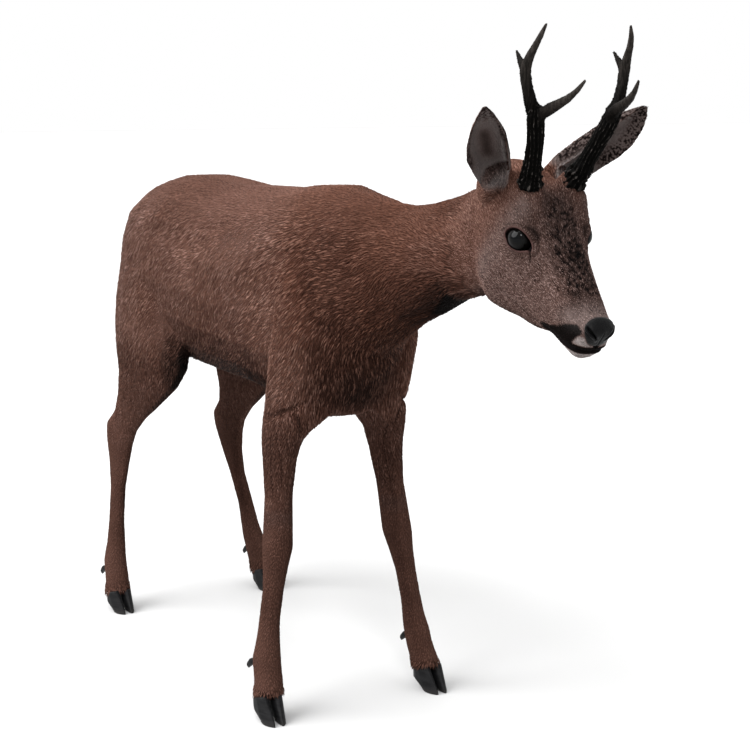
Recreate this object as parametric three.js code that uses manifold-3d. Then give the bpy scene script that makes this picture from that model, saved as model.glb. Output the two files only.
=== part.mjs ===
// Roe deer buck, life size, standing with its head lowered: one solid for each part of the body.
// Millimetres, +Z up. The deer looks along -Y, its left side is +X and its hooves stand on Z = 0.
import * as THREE from 'three';
import { LoftGeometry } from 'three/addons/geometries/LoftGeometry.js';
import { mergeVertices } from 'three/addons/utils/BufferGeometryUtils.js';
import Module from 'manifold-3d';

const wasm = await Module();
wasm.setup();

// ---- driving dimensions ---------------------------------------------------------------------

const KERF = 0.3;                  // gap left wherever two parts of the body meet
const BLOCK = 3000;                // edge of the blocks that part the body, larger than the deer

const ELBOW = 388;                 // heights where the legs are parted
const CARPUS = 221;
const FORE_FETLOCK = 84;
const STIFLE = 378;
const HOCK = 262;
const HIND_FETLOCK = 80;

const NECK_BASE = [0, -262, 600];  // where the neck meets the trunk, and the way that plane faces
const NECK_FACING = [0, -1, 0.18];
const HEAD_BASE = [0, -548, 650];  // where the head meets the neck
const HEAD_FACING = [0, -1, -0.14];
const POLL = new THREE.Vector3(0, -581, 738);       // top of the skull, behind the antlers
const FACE_DOWN = THREE.MathUtils.degToRad(48);     // how far the face points below level

const EYE_RADIUS = 14.5;
const EYE = [37, 86, -13];         // across, along the face, up from the face line
const EAR_WALL = 2.4;
const CLAW_GAP = 1.6;

const TRUNK_SIDES = 20;            // points around each section
const NECK_SIDES = 16;
const HEAD_SIDES = 20;
const LEG_SIDES = 12;
const HORN_SIDES = 8;
const EAR_SIDES = 7;
const NOSE_SIDES = 12;
const TAIL_SIDES = 8;
const CLAW_SIDES = 10;
const DEWCLAW_SIDES = 6;
const DOME_STEPS = [40, 72];       // degrees of the two rings that round off the end of a stack

// ---- solids ---------------------------------------------------------------------------------

function solid(shape) {
  const geometry = new THREE.BufferGeometry();
  geometry.setAttribute('position', shape.attributes.position);
  geometry.setIndex(shape.index);
  const merged = mergeVertices(geometry, 1e-4);
  return new wasm.Manifold(new wasm.Mesh({
    numProp: 3,
    vertProperties: new Float32Array(merged.attributes.position.array),
    triVerts: new Uint32Array(merged.index.array),
  }));
}

function geometryOf(manifold) {
  const mesh = manifold.getMesh();
  const geometry = new THREE.BufferGeometry();
  geometry.setAttribute('position', new THREE.BufferAttribute(mesh.vertProperties, 3));
  geometry.setIndex(new THREE.BufferAttribute(mesh.triVerts, 1));
  geometry.computeVertexNormals();
  return geometry;
}

// The closed body through rings of points, whichever way round the rings were drawn.
function loft(rings, along) {
  const [first] = rings;
  const middle = first.reduce((sum, p) => sum.add(p), new THREE.Vector3()).divideScalar(first.length);
  const facing = new THREE.Vector3();
  first.forEach((p, i) => {
    const next = first[(i + 1) % first.length];
    facing.add(p.clone().sub(middle).cross(next.clone().sub(middle)));
  });
  if (facing.dot(along) < 0) rings.forEach((ring) => ring.reverse());
  return solid(new LoftGeometry(rings, { closed: true, capStart: true, capEnd: true }));
}

// The block of space ahead of a plane through a point; `back` moves the plane forward.
function ahead(point, normal, back = 0) {
  const along = new THREE.Vector3(...normal).normalize();
  const block = new THREE.BoxGeometry(BLOCK, BLOCK, BLOCK);
  block.applyQuaternion(new THREE.Quaternion().setFromUnitVectors(new THREE.Vector3(0, 0, 1), along));
  const middle = new THREE.Vector3(...point).addScaledVector(along, BLOCK / 2 + back);
  block.translate(middle.x, middle.y, middle.z);
  return solid(block);
}

// Parts a solid at a plane and gives the piece ahead of it and the piece behind it.
function parted(body, point, normal) {
  const front = body.intersect(ahead(point, normal, KERF / 2));
  const rear = body.subtract(ahead(point, normal, -KERF / 2));
  return [front, rear];
}

// The largest closed body of a cut solid, without the crumbs that a cut leaves.
function largest(body) {
  return body.decompose().sort((a, b) => b.volume() - a.volume())[0];
}

// ---- stacked sections -----------------------------------------------------------------------

// One squared oval through its right, left, upper and lower edges, widest at a given level.
function oval([right, left, upper, lower, level], square, sides) {
  const middle = (right + left) / 2;
  const ring = [];
  for (let i = 0; i < sides; i += 1) {
    const angle = ((i + 0.5) / sides) * Math.PI * 2;
    const c = Math.cos(angle);
    const s = Math.sin(angle);
    const across = Math.sign(c) * Math.abs(c) ** (2 / square) * (right - middle);
    const up = Math.sign(s) * Math.abs(s) ** (2 / square) * (s > 0 ? upper - level : level - lower);
    ring.push([middle + across, level + up]);
  }
  return ring;
}

// A body part as parallel sections: each row is [place, right, left, upper, lower, level, square].
// `axes` gives the directions across, up and along, `round` the domes on the first and last section.
function stack(rows, axes, { sides, round = [0, 0], grow = 0 }) {
  const rings = [];
  const addRing = ([place, right, left, upper, lower, level, square], shrink = 1, push = 0) => {
    const edges = [right + grow, left - grow, upper + grow, lower - grow, level];
    const centre = [(right + left) / 2, (upper + lower) / 2];
    rings.push(oval(edges, square, sides).map(([a, b]) => axes.origin.clone()
      .addScaledVector(axes.across, centre[0] + (a - centre[0]) * shrink)
      .addScaledVector(axes.up, centre[1] + (b - centre[1]) * shrink)
      .addScaledVector(axes.along, place + push)));
  };
  const domeRing = (row, height, degrees) => {
    const angle = THREE.MathUtils.degToRad(degrees);
    addRing(row, Math.cos(angle), Math.sin(angle) * height);
  };
  if (round[0]) {
    DOME_STEPS.toReversed().forEach((degrees) => domeRing(rows[0], -round[0] - grow, degrees));
  }
  rows.forEach((row) => addRing(row));
  if (round[1]) {
    DOME_STEPS.forEach((degrees) => domeRing(rows.at(-1), round[1] + grow, degrees));
  }
  return loft(rings, axes.along);
}

const X = new THREE.Vector3(1, 0, 0);
const Y = new THREE.Vector3(0, 1, 0);
const Z = new THREE.Vector3(0, 0, 1);
const BODY_AXES = { origin: new THREE.Vector3(), across: X, up: Z, along: Y };
const FACE_AXES = {
  origin: POLL,
  across: X,
  up: new THREE.Vector3(0, -Math.sin(FACE_DOWN), Math.cos(FACE_DOWN)),
  along: new THREE.Vector3(0, -Math.cos(FACE_DOWN), -Math.sin(FACE_DOWN)),
};
const legAxes = (side) => ({
  origin: new THREE.Vector3(),
  across: new THREE.Vector3(side, 0, 0),
  up: new THREE.Vector3(0, -1, 0),
  along: Z,
});

// A point of the head from its distance across, along the face and up from it.
function onFace(across, along, up) {
  return POLL.clone()
    .addScaledVector(X, across)
    .addScaledVector(FACE_AXES.along, along)
    .addScaledVector(FACE_AXES.up, up);
}

// ---- trunk, neck, head and tail -------------------------------------------------------------

// Rows of the middle line: [place, half width, upper edge, lower edge, widest level, square].
const middleRows = (rows) => rows.map(([at, half, upper, lower, level, square = 2]) => (
  [at, half, -half, upper, lower, level, square]));

const TRUNK = middleRows([
  [-262, 48, 685, 500, 580],
  [-236, 67, 692, 455, 570],
  [-190, 85, 701, 398, 560, 2.3],
  [-130, 96, 699, 387, 560, 2.4],
  [-60, 106, 691, 397, 560, 2.2],
  [20, 113, 689, 405, 562, 2.2],
  [100, 115, 687, 405, 565, 2.2],
  [180, 112, 693, 406, 570, 2.2],
  [250, 105, 696, 405, 575, 2.2],
  [320, 98, 692, 412, 575, 2.1],
  [390, 89, 681, 450, 570, 2.1],
  [440, 81, 667, 480, 565, 2],
  [472, 60, 640, 515, 565, 2],
]);

const NECK = middleRows([
  [-600, 26, 731, 650, 690],
  [-560, 40, 733, 610, 680],
  [-520, 43, 720, 594, 655],
  [-460, 45, 702, 578, 640],
  [-400, 47, 690, 553, 625],
  [-350, 53, 684, 535, 610],
  [-300, 63, 685, 509, 600],
  [-250, 78, 692, 482, 590],
  [-200, 84, 698, 470, 585],
]);

const HEAD = middleRows([
  [-18, 31, 0, -60, -28],
  [0, 40, 4, -94, -28],
  [25, 46, 12, -121, -28],
  [45, 49.5, 20, -135, -26],
  [65, 49.5, 20, -138, -26, 2.1],
  [84, 47.5, 16, -137, -26, 2.1],
  [104, 43, 11, -122, -28, 2.1],
  [127, 38, 8, -102, -34, 2.1],
  [154, 33, 5.5, -84, -30, 2.1],
  [179, 29, 4.5, -58.5, -26, 2.1],
  [203, 25, 3, -52.5, -24, 2.1],
  [214, 20, -3, -52, -26],
]);

const NOSE = middleRows([
  [198, 16, 4, -14, -5, 2.3],
  [207, 19.5, 5.5, -18, -5, 2.4],
  [215, 16.5, 3, -17, -5, 2.3],
]);

// The mouth runs from a corner low on the cheek forward and up to the front of the lips.
const MOUTH_CORNER = onFace(0, 160, -56);
const MOUTH_RISE = THREE.MathUtils.degToRad(24);
const BELOW_MOUTH = FACE_AXES.up.clone().multiplyScalar(-Math.cos(MOUTH_RISE))
  .addScaledVector(FACE_AXES.along, Math.sin(MOUTH_RISE));
const NOSE_BACK = onFace(0, 204, 0);
const NOSE_LEAN = 0.3;             // how much the back of the nose pad leans up the face
const NOSE_FORWARD = FACE_AXES.along.clone().addScaledVector(FACE_AXES.up, NOSE_LEAN);

// The ridge of bone over each eye: [across, along the face, up from it, radius].
const BROW = [[35, 58, 4, 5], [37.5, 70, 4.5, 6], [37, 84, 4, 5.5], [34, 96, 1, 4]];

const trunkBody = (grow) => stack(TRUNK, BODY_AXES, { sides: TRUNK_SIDES, round: [26, 20], grow });
const neckBody = (grow) => stack(NECK, BODY_AXES, { sides: NECK_SIDES, grow });
const headBody = (grow) => stack(HEAD, FACE_AXES, { sides: HEAD_SIDES, round: [14, 8], grow });
const noseBody = stack(NOSE, FACE_AXES, { sides: NOSE_SIDES, round: [3, 5] });
const browBody = (side) => horn(BROW.map(([x, along, up, radius]) => (
  [...onFace(x, along, up), radius])), side, 5);

const TAIL_ROOT = new THREE.Vector3(0, 478, 612);
const TAIL_DROP = THREE.MathUtils.degToRad(58);

function tailStub() {
  const rows = middleRows([
    [0, 13, 13, -13, 0],
    [14, 14, 15, -12, 0],
    [30, 10, 12, -8, 2],
  ]);
  const axes = {
    origin: TAIL_ROOT,
    across: X,
    up: new THREE.Vector3(0, Math.sin(TAIL_DROP), Math.cos(TAIL_DROP)),
    along: new THREE.Vector3(0, Math.cos(TAIL_DROP), -Math.sin(TAIL_DROP)),
  };
  return stack(rows, axes, { sides: TAIL_SIDES, round: [8, 8] });
}

// ---- legs -----------------------------------------------------------------------------------

// Rows from the floor up: [height, outer, inner, front, back, widest, square] on the left leg.
// Front and back are places along the body, and a smaller one is further forward.
const legRows = (rows) => rows.map(([at, outer, inner, front, back, widest, square = 2]) => (
  [at, outer, inner, -front, -back, -widest, square]));

const FORELEG = legRows([
  [36, 141, 100, -201, -152, -179],
  [50, 137, 98, -193, -148, -174],
  [68, 134.5, 96, -185, -137, -166],
  [84, 134, 94.5, -182, -139, -161],
  [104, 128, 94, -174, -142, -158],
  [130, 123, 92, -170, -141, -156],
  [170, 116, 85, -167, -139, -154],
  [200, 113, 77, -168, -131, -150],
  [222, 112, 70, -169, -124, -148],
  [290, 103, 66, -163, -114, -139],
  [340, 101, 59, -166, -100, -134],
  [366, 101, 53, -173, -93, -137],
  [388, 101, 34, -183, -89, -141],
  [410, 101, 22, -188, -94, -146],
  [450, 102, 28, -203, -106, -153],
  [500, 102, 32, -219, -114, -167],
  [570, 96, 34, -214, -114, -169],
  [660, 72, 34, -190, -124, -156],
]);

const HINDLEG = legRows([
  [34, 147, 108, 349, 388, 369],
  [48, 144, 106, 354, 398, 376],
  [64, 142, 105, 361, 408, 384],
  [80, 141, 104, 368, 413, 391],
  [104, 133, 103, 379, 413, 396],
  [140, 126, 101, 387, 418, 403],
  [190, 117, 93, 398, 434, 415],
  [230, 113, 85, 392, 452, 425],
  [262, 112, 80, 381, 470, 430],
  [286, 110, 78, 365, 478, 424],
  [312, 108, 74, 331, 441, 398],
  [340, 107, 69, 280, 436, 370],
  [378, 106, 61, 216, 443, 338],
  [412, 106, 53, 182, 462, 338],
  [450, 106, 46, 192, 468, 345, 2.1],
  [490, 103, 42, 224, 468, 356, 2.1],
  [540, 96, 38, 252, 461, 364],
  [590, 90, 34, 278, 455, 368],
  [630, 81, 30, 304, 443, 366],
]);

const leg = (rows, side) => stack(rows, legAxes(side), { sides: LEG_SIDES, round: [6, 14] });

// Side outlines of the shoulder and the thigh as [place along the body, height], and how far from
// the middle of the body each of them starts.
const SHOULDER = {
  outline: [[-222, 380], [-240, 500], [-205, 600], [-156, 690], [-104, 640], [-96, 380]],
  inner: 38,
};
const THIGH = {
  outline: [[160, 370], [172, 445], [255, 570], [335, 655], [520, 640], [520, 370]],
  inner: 44,
};
const ROOM_DEPTH = 200;            // from the inner side of an upper leg to well outside the body

// The space of a shoulder or thigh: its side outline, from `inner` outwards on one side.
function upperLegRoom({ outline, inner }, side, grow) {
  const middle = outline.reduce(([a, b], [y, z]) => [a + y, b + z], [0, 0])
    .map((sum) => sum / outline.length);
  const points = outline.map(([y, z]) => {
    const arm = new THREE.Vector2(y - middle[0], z - middle[1]);
    return arm.setLength(arm.length() + grow).add(new THREE.Vector2(...middle));
  });
  const shape = new THREE.Shape(points);
  const slab = new THREE.ExtrudeGeometry(shape, { depth: ROOM_DEPTH, bevelEnabled: false });
  slab.applyMatrix4(new THREE.Matrix4().makeBasis(Y, Z, X));
  slab.translate(inner - grow, 0, 0);
  const room = solid(slab);
  return side > 0 ? room : room.mirror([1, 0, 0]);
}

// ---- hooves and dewclaws --------------------------------------------------------------------

const FORE_FOOT = { x: 122.5, y: -185, turn: -2, length: 58, height: 36, half: 9 };
const HIND_FOOT = { x: 127, y: 357, turn: 4, length: 56, height: 34, half: 9 };
const SOLE = 3;                    // level of the soles in the sections above
const CORONET_SLOPE = 0.32;        // how much the top of the hoof falls from front to heel

// Turns a point of a foot, forward and across it, to its place on the floor.
function onFoot(foot, side, forward, across, height) {
  const turn = THREE.MathUtils.degToRad(foot.turn);
  return new THREE.Vector3(
    side * (foot.x + across * Math.cos(turn) - forward * Math.sin(turn)),
    foot.y - forward * Math.cos(turn) - across * Math.sin(turn),
    height,
  );
}

// Rings of a claw from the sole to the coronet: share of the height, of the half width, of the
// length in front and behind, and the lift of the round heel.
const CLAW_RINGS = [
  { rise: 0, width: 0.64, front: 0.55, rear: 0.02, heel: 0 },
  { rise: 0.16, width: 0.9, front: 0.5, rear: 0.36, heel: 13 },
  { rise: 0.5, width: 1, front: 0.35, rear: 0.42, heel: 0 },
  { rise: 1, width: 1, front: 0.13, rear: 0.42, heel: 0 },
];
const TOE_TAPER = 0.35;            // how much the toe narrows at the sole
const TOE_INWARD = 4.6;            // how far the toe leans to the other claw at the sole

function claw(foot, side, which) {
  const rings = CLAW_RINGS.map(({ rise, width, front, rear, heel }) => {
    const half = ((front + rear) * foot.length) / 2;
    const middle = ((front - rear) * foot.length) / 2;
    return Array.from({ length: CLAW_SIDES }, (_, i) => {
      const angle = (i / CLAW_SIDES) * Math.PI * 2;
      const forward = middle + half * Math.cos(angle);
      const toe = Math.max(Math.cos(angle), 0) ** 2 * (1 - rise);
      const inward = CLAW_GAP / 2 + foot.half - TOE_INWARD * toe;
      const across = which * inward + Math.sin(angle) * foot.half * width * (1 - TOE_TAPER * toe);
      const fall = rise * CORONET_SLOPE * (middle + half - forward);
      const lift = heel * Math.max(-Math.cos(angle), 0);
      return onFoot(foot, side, forward, across, SOLE + rise * foot.height - fall + lift);
    });
  });
  return loft(rings, Z);
}

// The slanting plane of the coronet, just above both claws.
function coronet(foot) {
  const front = foot.length * CLAW_RINGS.at(-1).front;
  const point = onFoot(foot, 1, front, 0, SOLE + foot.height + KERF);
  return [[0, point.y, point.z], [0, CORONET_SLOPE, 1]];
}

// The small claw behind the foot, round its middle point: [outwards, back, up, radius].
const DEWCLAW = [[5, -20, 8, 5], [7.5, -6, 4, 5.5], [7.5, 3, -3, 4.4], [6.5, 7, -9, 1.5]];

function dewclaw([x, y, z], side, which, grow = 0) {
  const rows = DEWCLAW.map(([out, back, up, radius]) => [x + which * out, y + back, z + up, radius]);
  return horn(rows, side, 3, grow, DEWCLAW_SIDES);
}

// ---- ears, eyes and antlers -----------------------------------------------------------------

// Sections of the ear from its base to its tip: the outer rim, the fold behind it and the inner rim.
const EAR_SECTIONS = [
  { outer: [57, -586, 712], fold: [20, -586, 739], inner: [27, -594, 731], depth: 12 },
  { outer: [67.5, -594, 721], fold: [27, -592, 747], inner: [35, -603, 739], depth: 17 },
  { outer: [82, -604, 732], fold: [35, -602, 757], inner: [42, -614, 747], depth: 19 },
  { outer: [98, -617, 745], fold: [45, -613, 768], inner: [52, -626, 758], depth: 18 },
  { outer: [107, -631, 760], fold: [55, -624, 779], inner: [61, -636, 770], depth: 15 },
  { outer: [110, -643, 776], fold: [68, -633, 788], inner: [72, -643, 782], depth: 11 },
  { outer: [108.5, -651, 789], fold: [82, -643, 797], inner: [86, -651, 793], depth: 6 },
  { outer: [104.5, -658, 801], fold: [97, -654, 803], inner: [98, -658, 801], depth: 2 },
];
const EAR_ALONG = new THREE.Vector3(52, -66, 75).normalize();
const EAR_ROOT = [[36, -566, 706, 15], [43, -580, 718, 17], [48, -590, 728, 14]];

function ear(side) {
  const rings = EAR_SECTIONS.map(({ outer, fold, inner, depth }) => {
    const [from, ridge, to] = [outer, fold, inner].map((point) => new THREE.Vector3(...point));
    const behind = ridge.clone().sub(from).cross(EAR_ALONG).normalize();
    const back = from.clone().lerp(ridge, 0.45).addScaledVector(behind, depth);
    const across = new THREE.CatmullRomCurve3([from, back, ridge, to]).getPoints(EAR_SIDES - 1);
    const focus = from.clone().lerp(to, 0.5);
    const lining = across.map((p) => p.clone().add(focus.clone().sub(p).setLength(EAR_WALL)));
    return [...across, ...lining.reverse()].map((p) => new THREE.Vector3(p.x * side, p.y, p.z));
  });
  const cup = loft(rings, new THREE.Vector3(EAR_ALONG.x * side, EAR_ALONG.y, EAR_ALONG.z));
  return cup.add(horn(EAR_ROOT, side, 2));
}

function eyeBall(side, radius) {
  const ball = new THREE.SphereGeometry(radius, 12, 7);
  const centre = onFace(EYE[0] * side, EYE[1], EYE[2]);
  ball.translate(centre.x, centre.y, centre.z);
  return solid(ball);
}

// A tapering round horn along a smooth line; each row is [x, y, z, radius] on the left side.
function horn(rows, side, steps, grow = 0, sides = HORN_SIDES) {
  const line = new THREE.CatmullRomCurve3(rows.map(([x, y, z]) => new THREE.Vector3(x * side, y, z)));
  const sizes = new THREE.CatmullRomCurve3(rows.map((row, i) => new THREE.Vector3(row[3], i, 0)));
  const rings = [];
  for (let i = 0; i <= steps; i += 1) {
    const centre = line.getPoint(i / steps);
    const tangent = line.getTangent(i / steps);
    const across = X.clone().addScaledVector(tangent, -tangent.x).normalize();
    const up = tangent.clone().cross(across);
    const radius = sizes.getPoint(i / steps).x + grow;
    rings.push(Array.from({ length: sides }, (_, k) => {
      const angle = (k / sides) * Math.PI * 2;
      return centre.clone()
        .addScaledVector(across, Math.cos(angle) * radius)
        .addScaledVector(up, Math.sin(angle) * radius);
    }));
  }
  return loft(rings, line.getTangent(0));
}

const LOWER_BEAM = [
  [27, -614, 698, 9], [26.5, -627, 714, 11.5], [27.5, -631, 722, 11.8], [29, -634, 729, 10.2],
  [34, -644.5, 745, 9.8], [40, -657.5, 767, 9.6], [47.5, -668, 790, 10], [51, -670, 802, 8],
];
const UPPER_BEAM = [
  [48, -667, 790, 8.4], [54.5, -669, 806, 7.6], [59, -669, 822, 6.6], [61.5, -669, 838, 6.8],
  [60, -676, 853, 5.2], [57, -685, 867, 4], [51.5, -691, 883.5, 1.4],
];
const FRONT_TINE = [
  [45, -664, 789, 5], [43, -679, 797, 7], [41, -697, 804, 5.8], [37, -716, 813, 4.2],
  [32.5, -731, 827.5, 1.4],
];
const REAR_TINE = [
  [61.5, -669, 836, 5], [61.5, -661, 846, 4.4], [60.5, -651, 857.5, 1.6],
];

// ---- assembly -------------------------------------------------------------------------------

const finish = (color, roughness) => new THREE.MeshStandardMaterial({ color, roughness, metalness: 0 });
const coat = () => finish(0x5f4137, 0.9);
const faceCoat = () => finish(0x6b5a55, 0.9);
const earSkin = () => finish(0x5a5252, 0.85);
const noseSkin = () => finish(0x2b2a2c, 0.45);
const hoofHorn = () => finish(0x2a2a2d, 0.45);
const antlerBone = () => finish(0x26211f, 0.6);
const eyeGloss = () => finish(0x121116, 0.1);

const deer = new THREE.Group();
const body = new THREE.Group();
deer.add(body);

function place(name, manifold, material) {
  const mesh = new THREE.Mesh(geometryOf(manifold), material);
  mesh.name = name;
  body.add(mesh);
}

const SIDES = [['right', -1], ['left', 1]];

// The whole flesh as one body, then its lower legs, shoulders and thighs, neck and head cut from it.
let flesh = trunkBody(0).add(neckBody(0)).add(headBody(0)).add(noseBody);
SIDES.forEach(([, side]) => {
  flesh = flesh.add(leg(FORELEG, side)).add(leg(HINDLEG, side)).add(browBody(side));
});

const LEGS = [
  {
    name: 'fore', top: ELBOW, cuts: [CARPUS, FORE_FETLOCK], names: ['forearm', 'cannon', 'pastern'],
    room: SHOULDER, upper: 'arm', foot: FORE_FOOT, dew: [118, -131, 64.5], facing: -1,
  },
  {
    name: 'hind', top: STIFLE, cuts: [HOCK, HIND_FETLOCK], names: ['shank', 'cannon', 'pastern'],
    room: THIGH, upper: 'thigh', foot: HIND_FOOT, dew: [126, 418, 54], facing: 1,
  },
];
const HALFWAY = [0, 60, 0];        // a point between the forelegs and the hind legs

let remaining = flesh;
for (const { name, top, cuts, names, room, upper, foot, dew, facing } of LEGS) {
  const half = ahead(HALFWAY, [0, facing, 0]);
  const lowered = half.intersect(ahead([0, 0, top], [0, 0, -1], KERF / 2));
  const legs = remaining.intersect(lowered);
  remaining = remaining.subtract(half.intersect(ahead([0, 0, top], [0, 0, -1], -KERF / 2)));
  for (const [sideName, side] of SIDES) {
    const prefix = `${name}_${sideName}`;
    let rest = legs.intersect(ahead([0, 0, 0], [side, 0, 0]));
    [rest] = parted(rest, ...coronet(foot));
    cuts.forEach((height, i) => {
      const [above, below] = parted(rest, [0, 0, height], [0, 0, 1]);
      place(`${prefix}_${names[i]}`, largest(above), coat());
      rest = below;
    });
    for (const [whichName, which] of [['inner', -1], ['outer', 1]]) {
      const spur = dewclaw(dew, side, which);
      rest = rest.subtract(dewclaw(dew, side, which, KERF));
      place(`${prefix}_hoof_${whichName}`, claw(foot, side, which), hoofHorn());
      place(`${prefix}_dewclaw_${whichName}`, spur, hoofHorn());
    }
    place(`${prefix}_${names[2]}`, largest(rest), coat());
    const limb = remaining.intersect(upperLegRoom(room, side, 0));
    remaining = remaining.subtract(upperLegRoom(room, side, KERF));
    place(`${prefix}_${upper}`, largest(limb), coat());
  }
}

const [forequarter, trunk] = parted(remaining, NECK_BASE, NECK_FACING);
const [skull, neck] = parted(forequarter, HEAD_BASE, HEAD_FACING);
place('tail', tailStub().subtract(trunkBody(KERF)), coat());
place('trunk', largest(trunk), coat());
place('neck', largest(neck), coat());

const skinned = headBody(KERF).add(neckBody(KERF));
let head = skull;
for (const [sideName, side] of SIDES) {
  head = head.subtract(eyeBall(side, EYE_RADIUS + KERF));
  place(`eye_${sideName}`, eyeBall(side, EYE_RADIUS), eyeGloss());
  place(`ear_${sideName}`, largest(ear(side).subtract(skinned)), earSkin());

  const lowerRoom = horn(LOWER_BEAM, side, 10, KERF);
  const upperRoom = horn(UPPER_BEAM, side, 9, KERF);
  const pieces = {
    lower_beam: horn(LOWER_BEAM, side, 10).subtract(skinned),
    upper_beam: horn(UPPER_BEAM, side, 9).subtract(lowerRoom),
    front_tine: horn(FRONT_TINE, side, 6).subtract(lowerRoom).subtract(upperRoom),
    rear_tine: horn(REAR_TINE, side, 4).subtract(upperRoom),
  };
  Object.entries(pieces).forEach(([name, piece]) => {
    place(`antler_${sideName}_${name}`, largest(piece), antlerBone());
  });
}

const belowMouth = (back) => ahead(MOUTH_CORNER, BELOW_MOUTH, back)
  .intersect(ahead(MOUTH_CORNER, FACE_AXES.along, back));
const jaw = head.intersect(belowMouth(KERF / 2));
const [nose, face] = parted(head.subtract(belowMouth(-KERF / 2)), NOSE_BACK, NOSE_FORWARD);
place('lower_jaw', largest(jaw), faceCoat());
place('nose', largest(nose), noseSkin());
place('head', largest(face), faceCoat());

// The origin is on the floor under the middle of the deer.
const box = new THREE.Box3().setFromObject(body);
body.position.set(0, -(box.min.y + box.max.y) / 2, -box.min.z);

export default deer;
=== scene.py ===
import math

import bpy
import numpy as np
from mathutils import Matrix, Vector, noise
from mathutils.bvhtree import BVHTree
from mathutils.kdtree import KDTree


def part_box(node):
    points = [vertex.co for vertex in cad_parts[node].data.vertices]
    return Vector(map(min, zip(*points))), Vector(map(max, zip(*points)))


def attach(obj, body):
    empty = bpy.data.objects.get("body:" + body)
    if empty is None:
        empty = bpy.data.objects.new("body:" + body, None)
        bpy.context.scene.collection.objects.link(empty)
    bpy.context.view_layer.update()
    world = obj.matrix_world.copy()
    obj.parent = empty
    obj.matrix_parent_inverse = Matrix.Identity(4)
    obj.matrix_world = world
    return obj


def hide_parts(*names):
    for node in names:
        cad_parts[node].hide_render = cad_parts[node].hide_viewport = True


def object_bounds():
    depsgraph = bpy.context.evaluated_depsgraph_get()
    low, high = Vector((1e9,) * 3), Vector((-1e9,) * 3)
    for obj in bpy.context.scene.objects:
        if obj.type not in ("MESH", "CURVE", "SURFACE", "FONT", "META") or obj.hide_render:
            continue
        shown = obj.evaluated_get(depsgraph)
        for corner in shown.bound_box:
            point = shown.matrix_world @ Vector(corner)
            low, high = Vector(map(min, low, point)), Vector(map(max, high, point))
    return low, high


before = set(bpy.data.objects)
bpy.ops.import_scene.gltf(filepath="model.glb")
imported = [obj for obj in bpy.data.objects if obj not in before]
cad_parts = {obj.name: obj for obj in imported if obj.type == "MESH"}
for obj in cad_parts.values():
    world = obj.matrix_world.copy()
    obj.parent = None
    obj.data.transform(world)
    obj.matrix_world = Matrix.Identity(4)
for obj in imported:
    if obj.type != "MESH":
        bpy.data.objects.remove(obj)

cad_low, cad_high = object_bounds()


# ---- Studio ---------------------------------------------------------------------------------
# The model stands on a plain pale floor in a white room. The camera stands a little above its
# withers, off its right shoulder, and the main light comes from above on that side.

camera_lens = bpy.data.cameras.new("camera")
camera_lens.lens = 80
camera_lens.sensor_width = 36
camera = bpy.data.objects.new("camera", camera_lens)
bpy.context.collection.objects.link(camera)
middle_of_floor = Vector(((cad_low.x + cad_high.x) / 2, (cad_low.y + cad_high.y) / 2, cad_low.z))
camera.location = middle_of_floor + Vector((-1.01142, -1.96069, 0.81401))
camera_turn, camera_rise = math.radians(-28.984), math.radians(9.666)
camera_back = Vector((math.sin(camera_turn) * math.cos(camera_rise),
                      -math.cos(camera_turn) * math.cos(camera_rise),
                      math.sin(camera_rise)))
camera.rotation_mode = "QUATERNION"
camera.rotation_quaternion = (-camera_back).to_track_quat("-Z", "Y")
bpy.context.scene.camera = camera


def soft_sun(name, comes_from, strength, softness):
    """A broad, even light from one side, like a large diffuser far away."""
    glow = bpy.data.lights.new(name, "SUN")
    glow.energy = strength
    glow.angle = math.radians(softness)
    lamp = bpy.data.objects.new(name, glow)
    bpy.context.collection.objects.link(lamp)
    lamp.rotation_mode = "QUATERNION"
    lamp.rotation_quaternion = Vector(comes_from).to_track_quat("Z", "Y")


soft_sun("light_side", (-0.83, 0.16, 0.64), 4.9, 54)
soft_sun("light_front", (-0.33, -0.73, 0.59), 1.15, 13)
soft_sun("light_above", (-0.15, 0.25, 1.0), 2.6, 60)

room = bpy.data.worlds.new("room")
room.use_nodes = True
room.node_tree.nodes["Background"].inputs["Color"].default_value = (1, 1, 1, 1)
room.node_tree.nodes["Background"].inputs["Strength"].default_value = 1.0
bpy.context.scene.world = room
bpy.context.scene.view_settings.view_transform = "Standard"


class Value:
    """A node socket that can be written into sums: an expression on it adds its Math nodes."""

    def __init__(self, shader, socket):
        self.shader, self.socket = shader, socket

    def math(self, operation, *others):
        return self.shader.node("ShaderNodeMath", {"operation": operation}, [self, *others])[0]

    def __add__(self, other): return self.math("ADD", other)
    def __sub__(self, other): return self.math("SUBTRACT", other)
    def __mul__(self, other): return self.math("MULTIPLY", other)
    def __truediv__(self, other): return self.math("DIVIDE", other)
    def __pow__(self, other): return self.math("POWER", other)
    def __radd__(self, other): return self.math("ADD", other)
    def __rmul__(self, other): return self.math("MULTIPLY", other)
    def __rsub__(self, other): return self.node_of("SUBTRACT", other)
    def __rtruediv__(self, other): return self.node_of("DIVIDE", other)
    def __neg__(self): return self.math("MULTIPLY", -1.0)

    def node_of(self, operation, first):
        return self.shader.node("ShaderNodeMath", {"operation": operation}, [first, self])[0]

    def ramp(self, low, high):
        """0 below low, 1 above high, and smooth between."""
        return self.shader.node("ShaderNodeMapRange",
                                {"interpolation_type": "SMOOTHSTEP", "clamp": True},
                                {"Value": self, "From Min": low, "From Max": high,
                                 "To Min": 0.0, "To Max": 1.0})[0]


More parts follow.
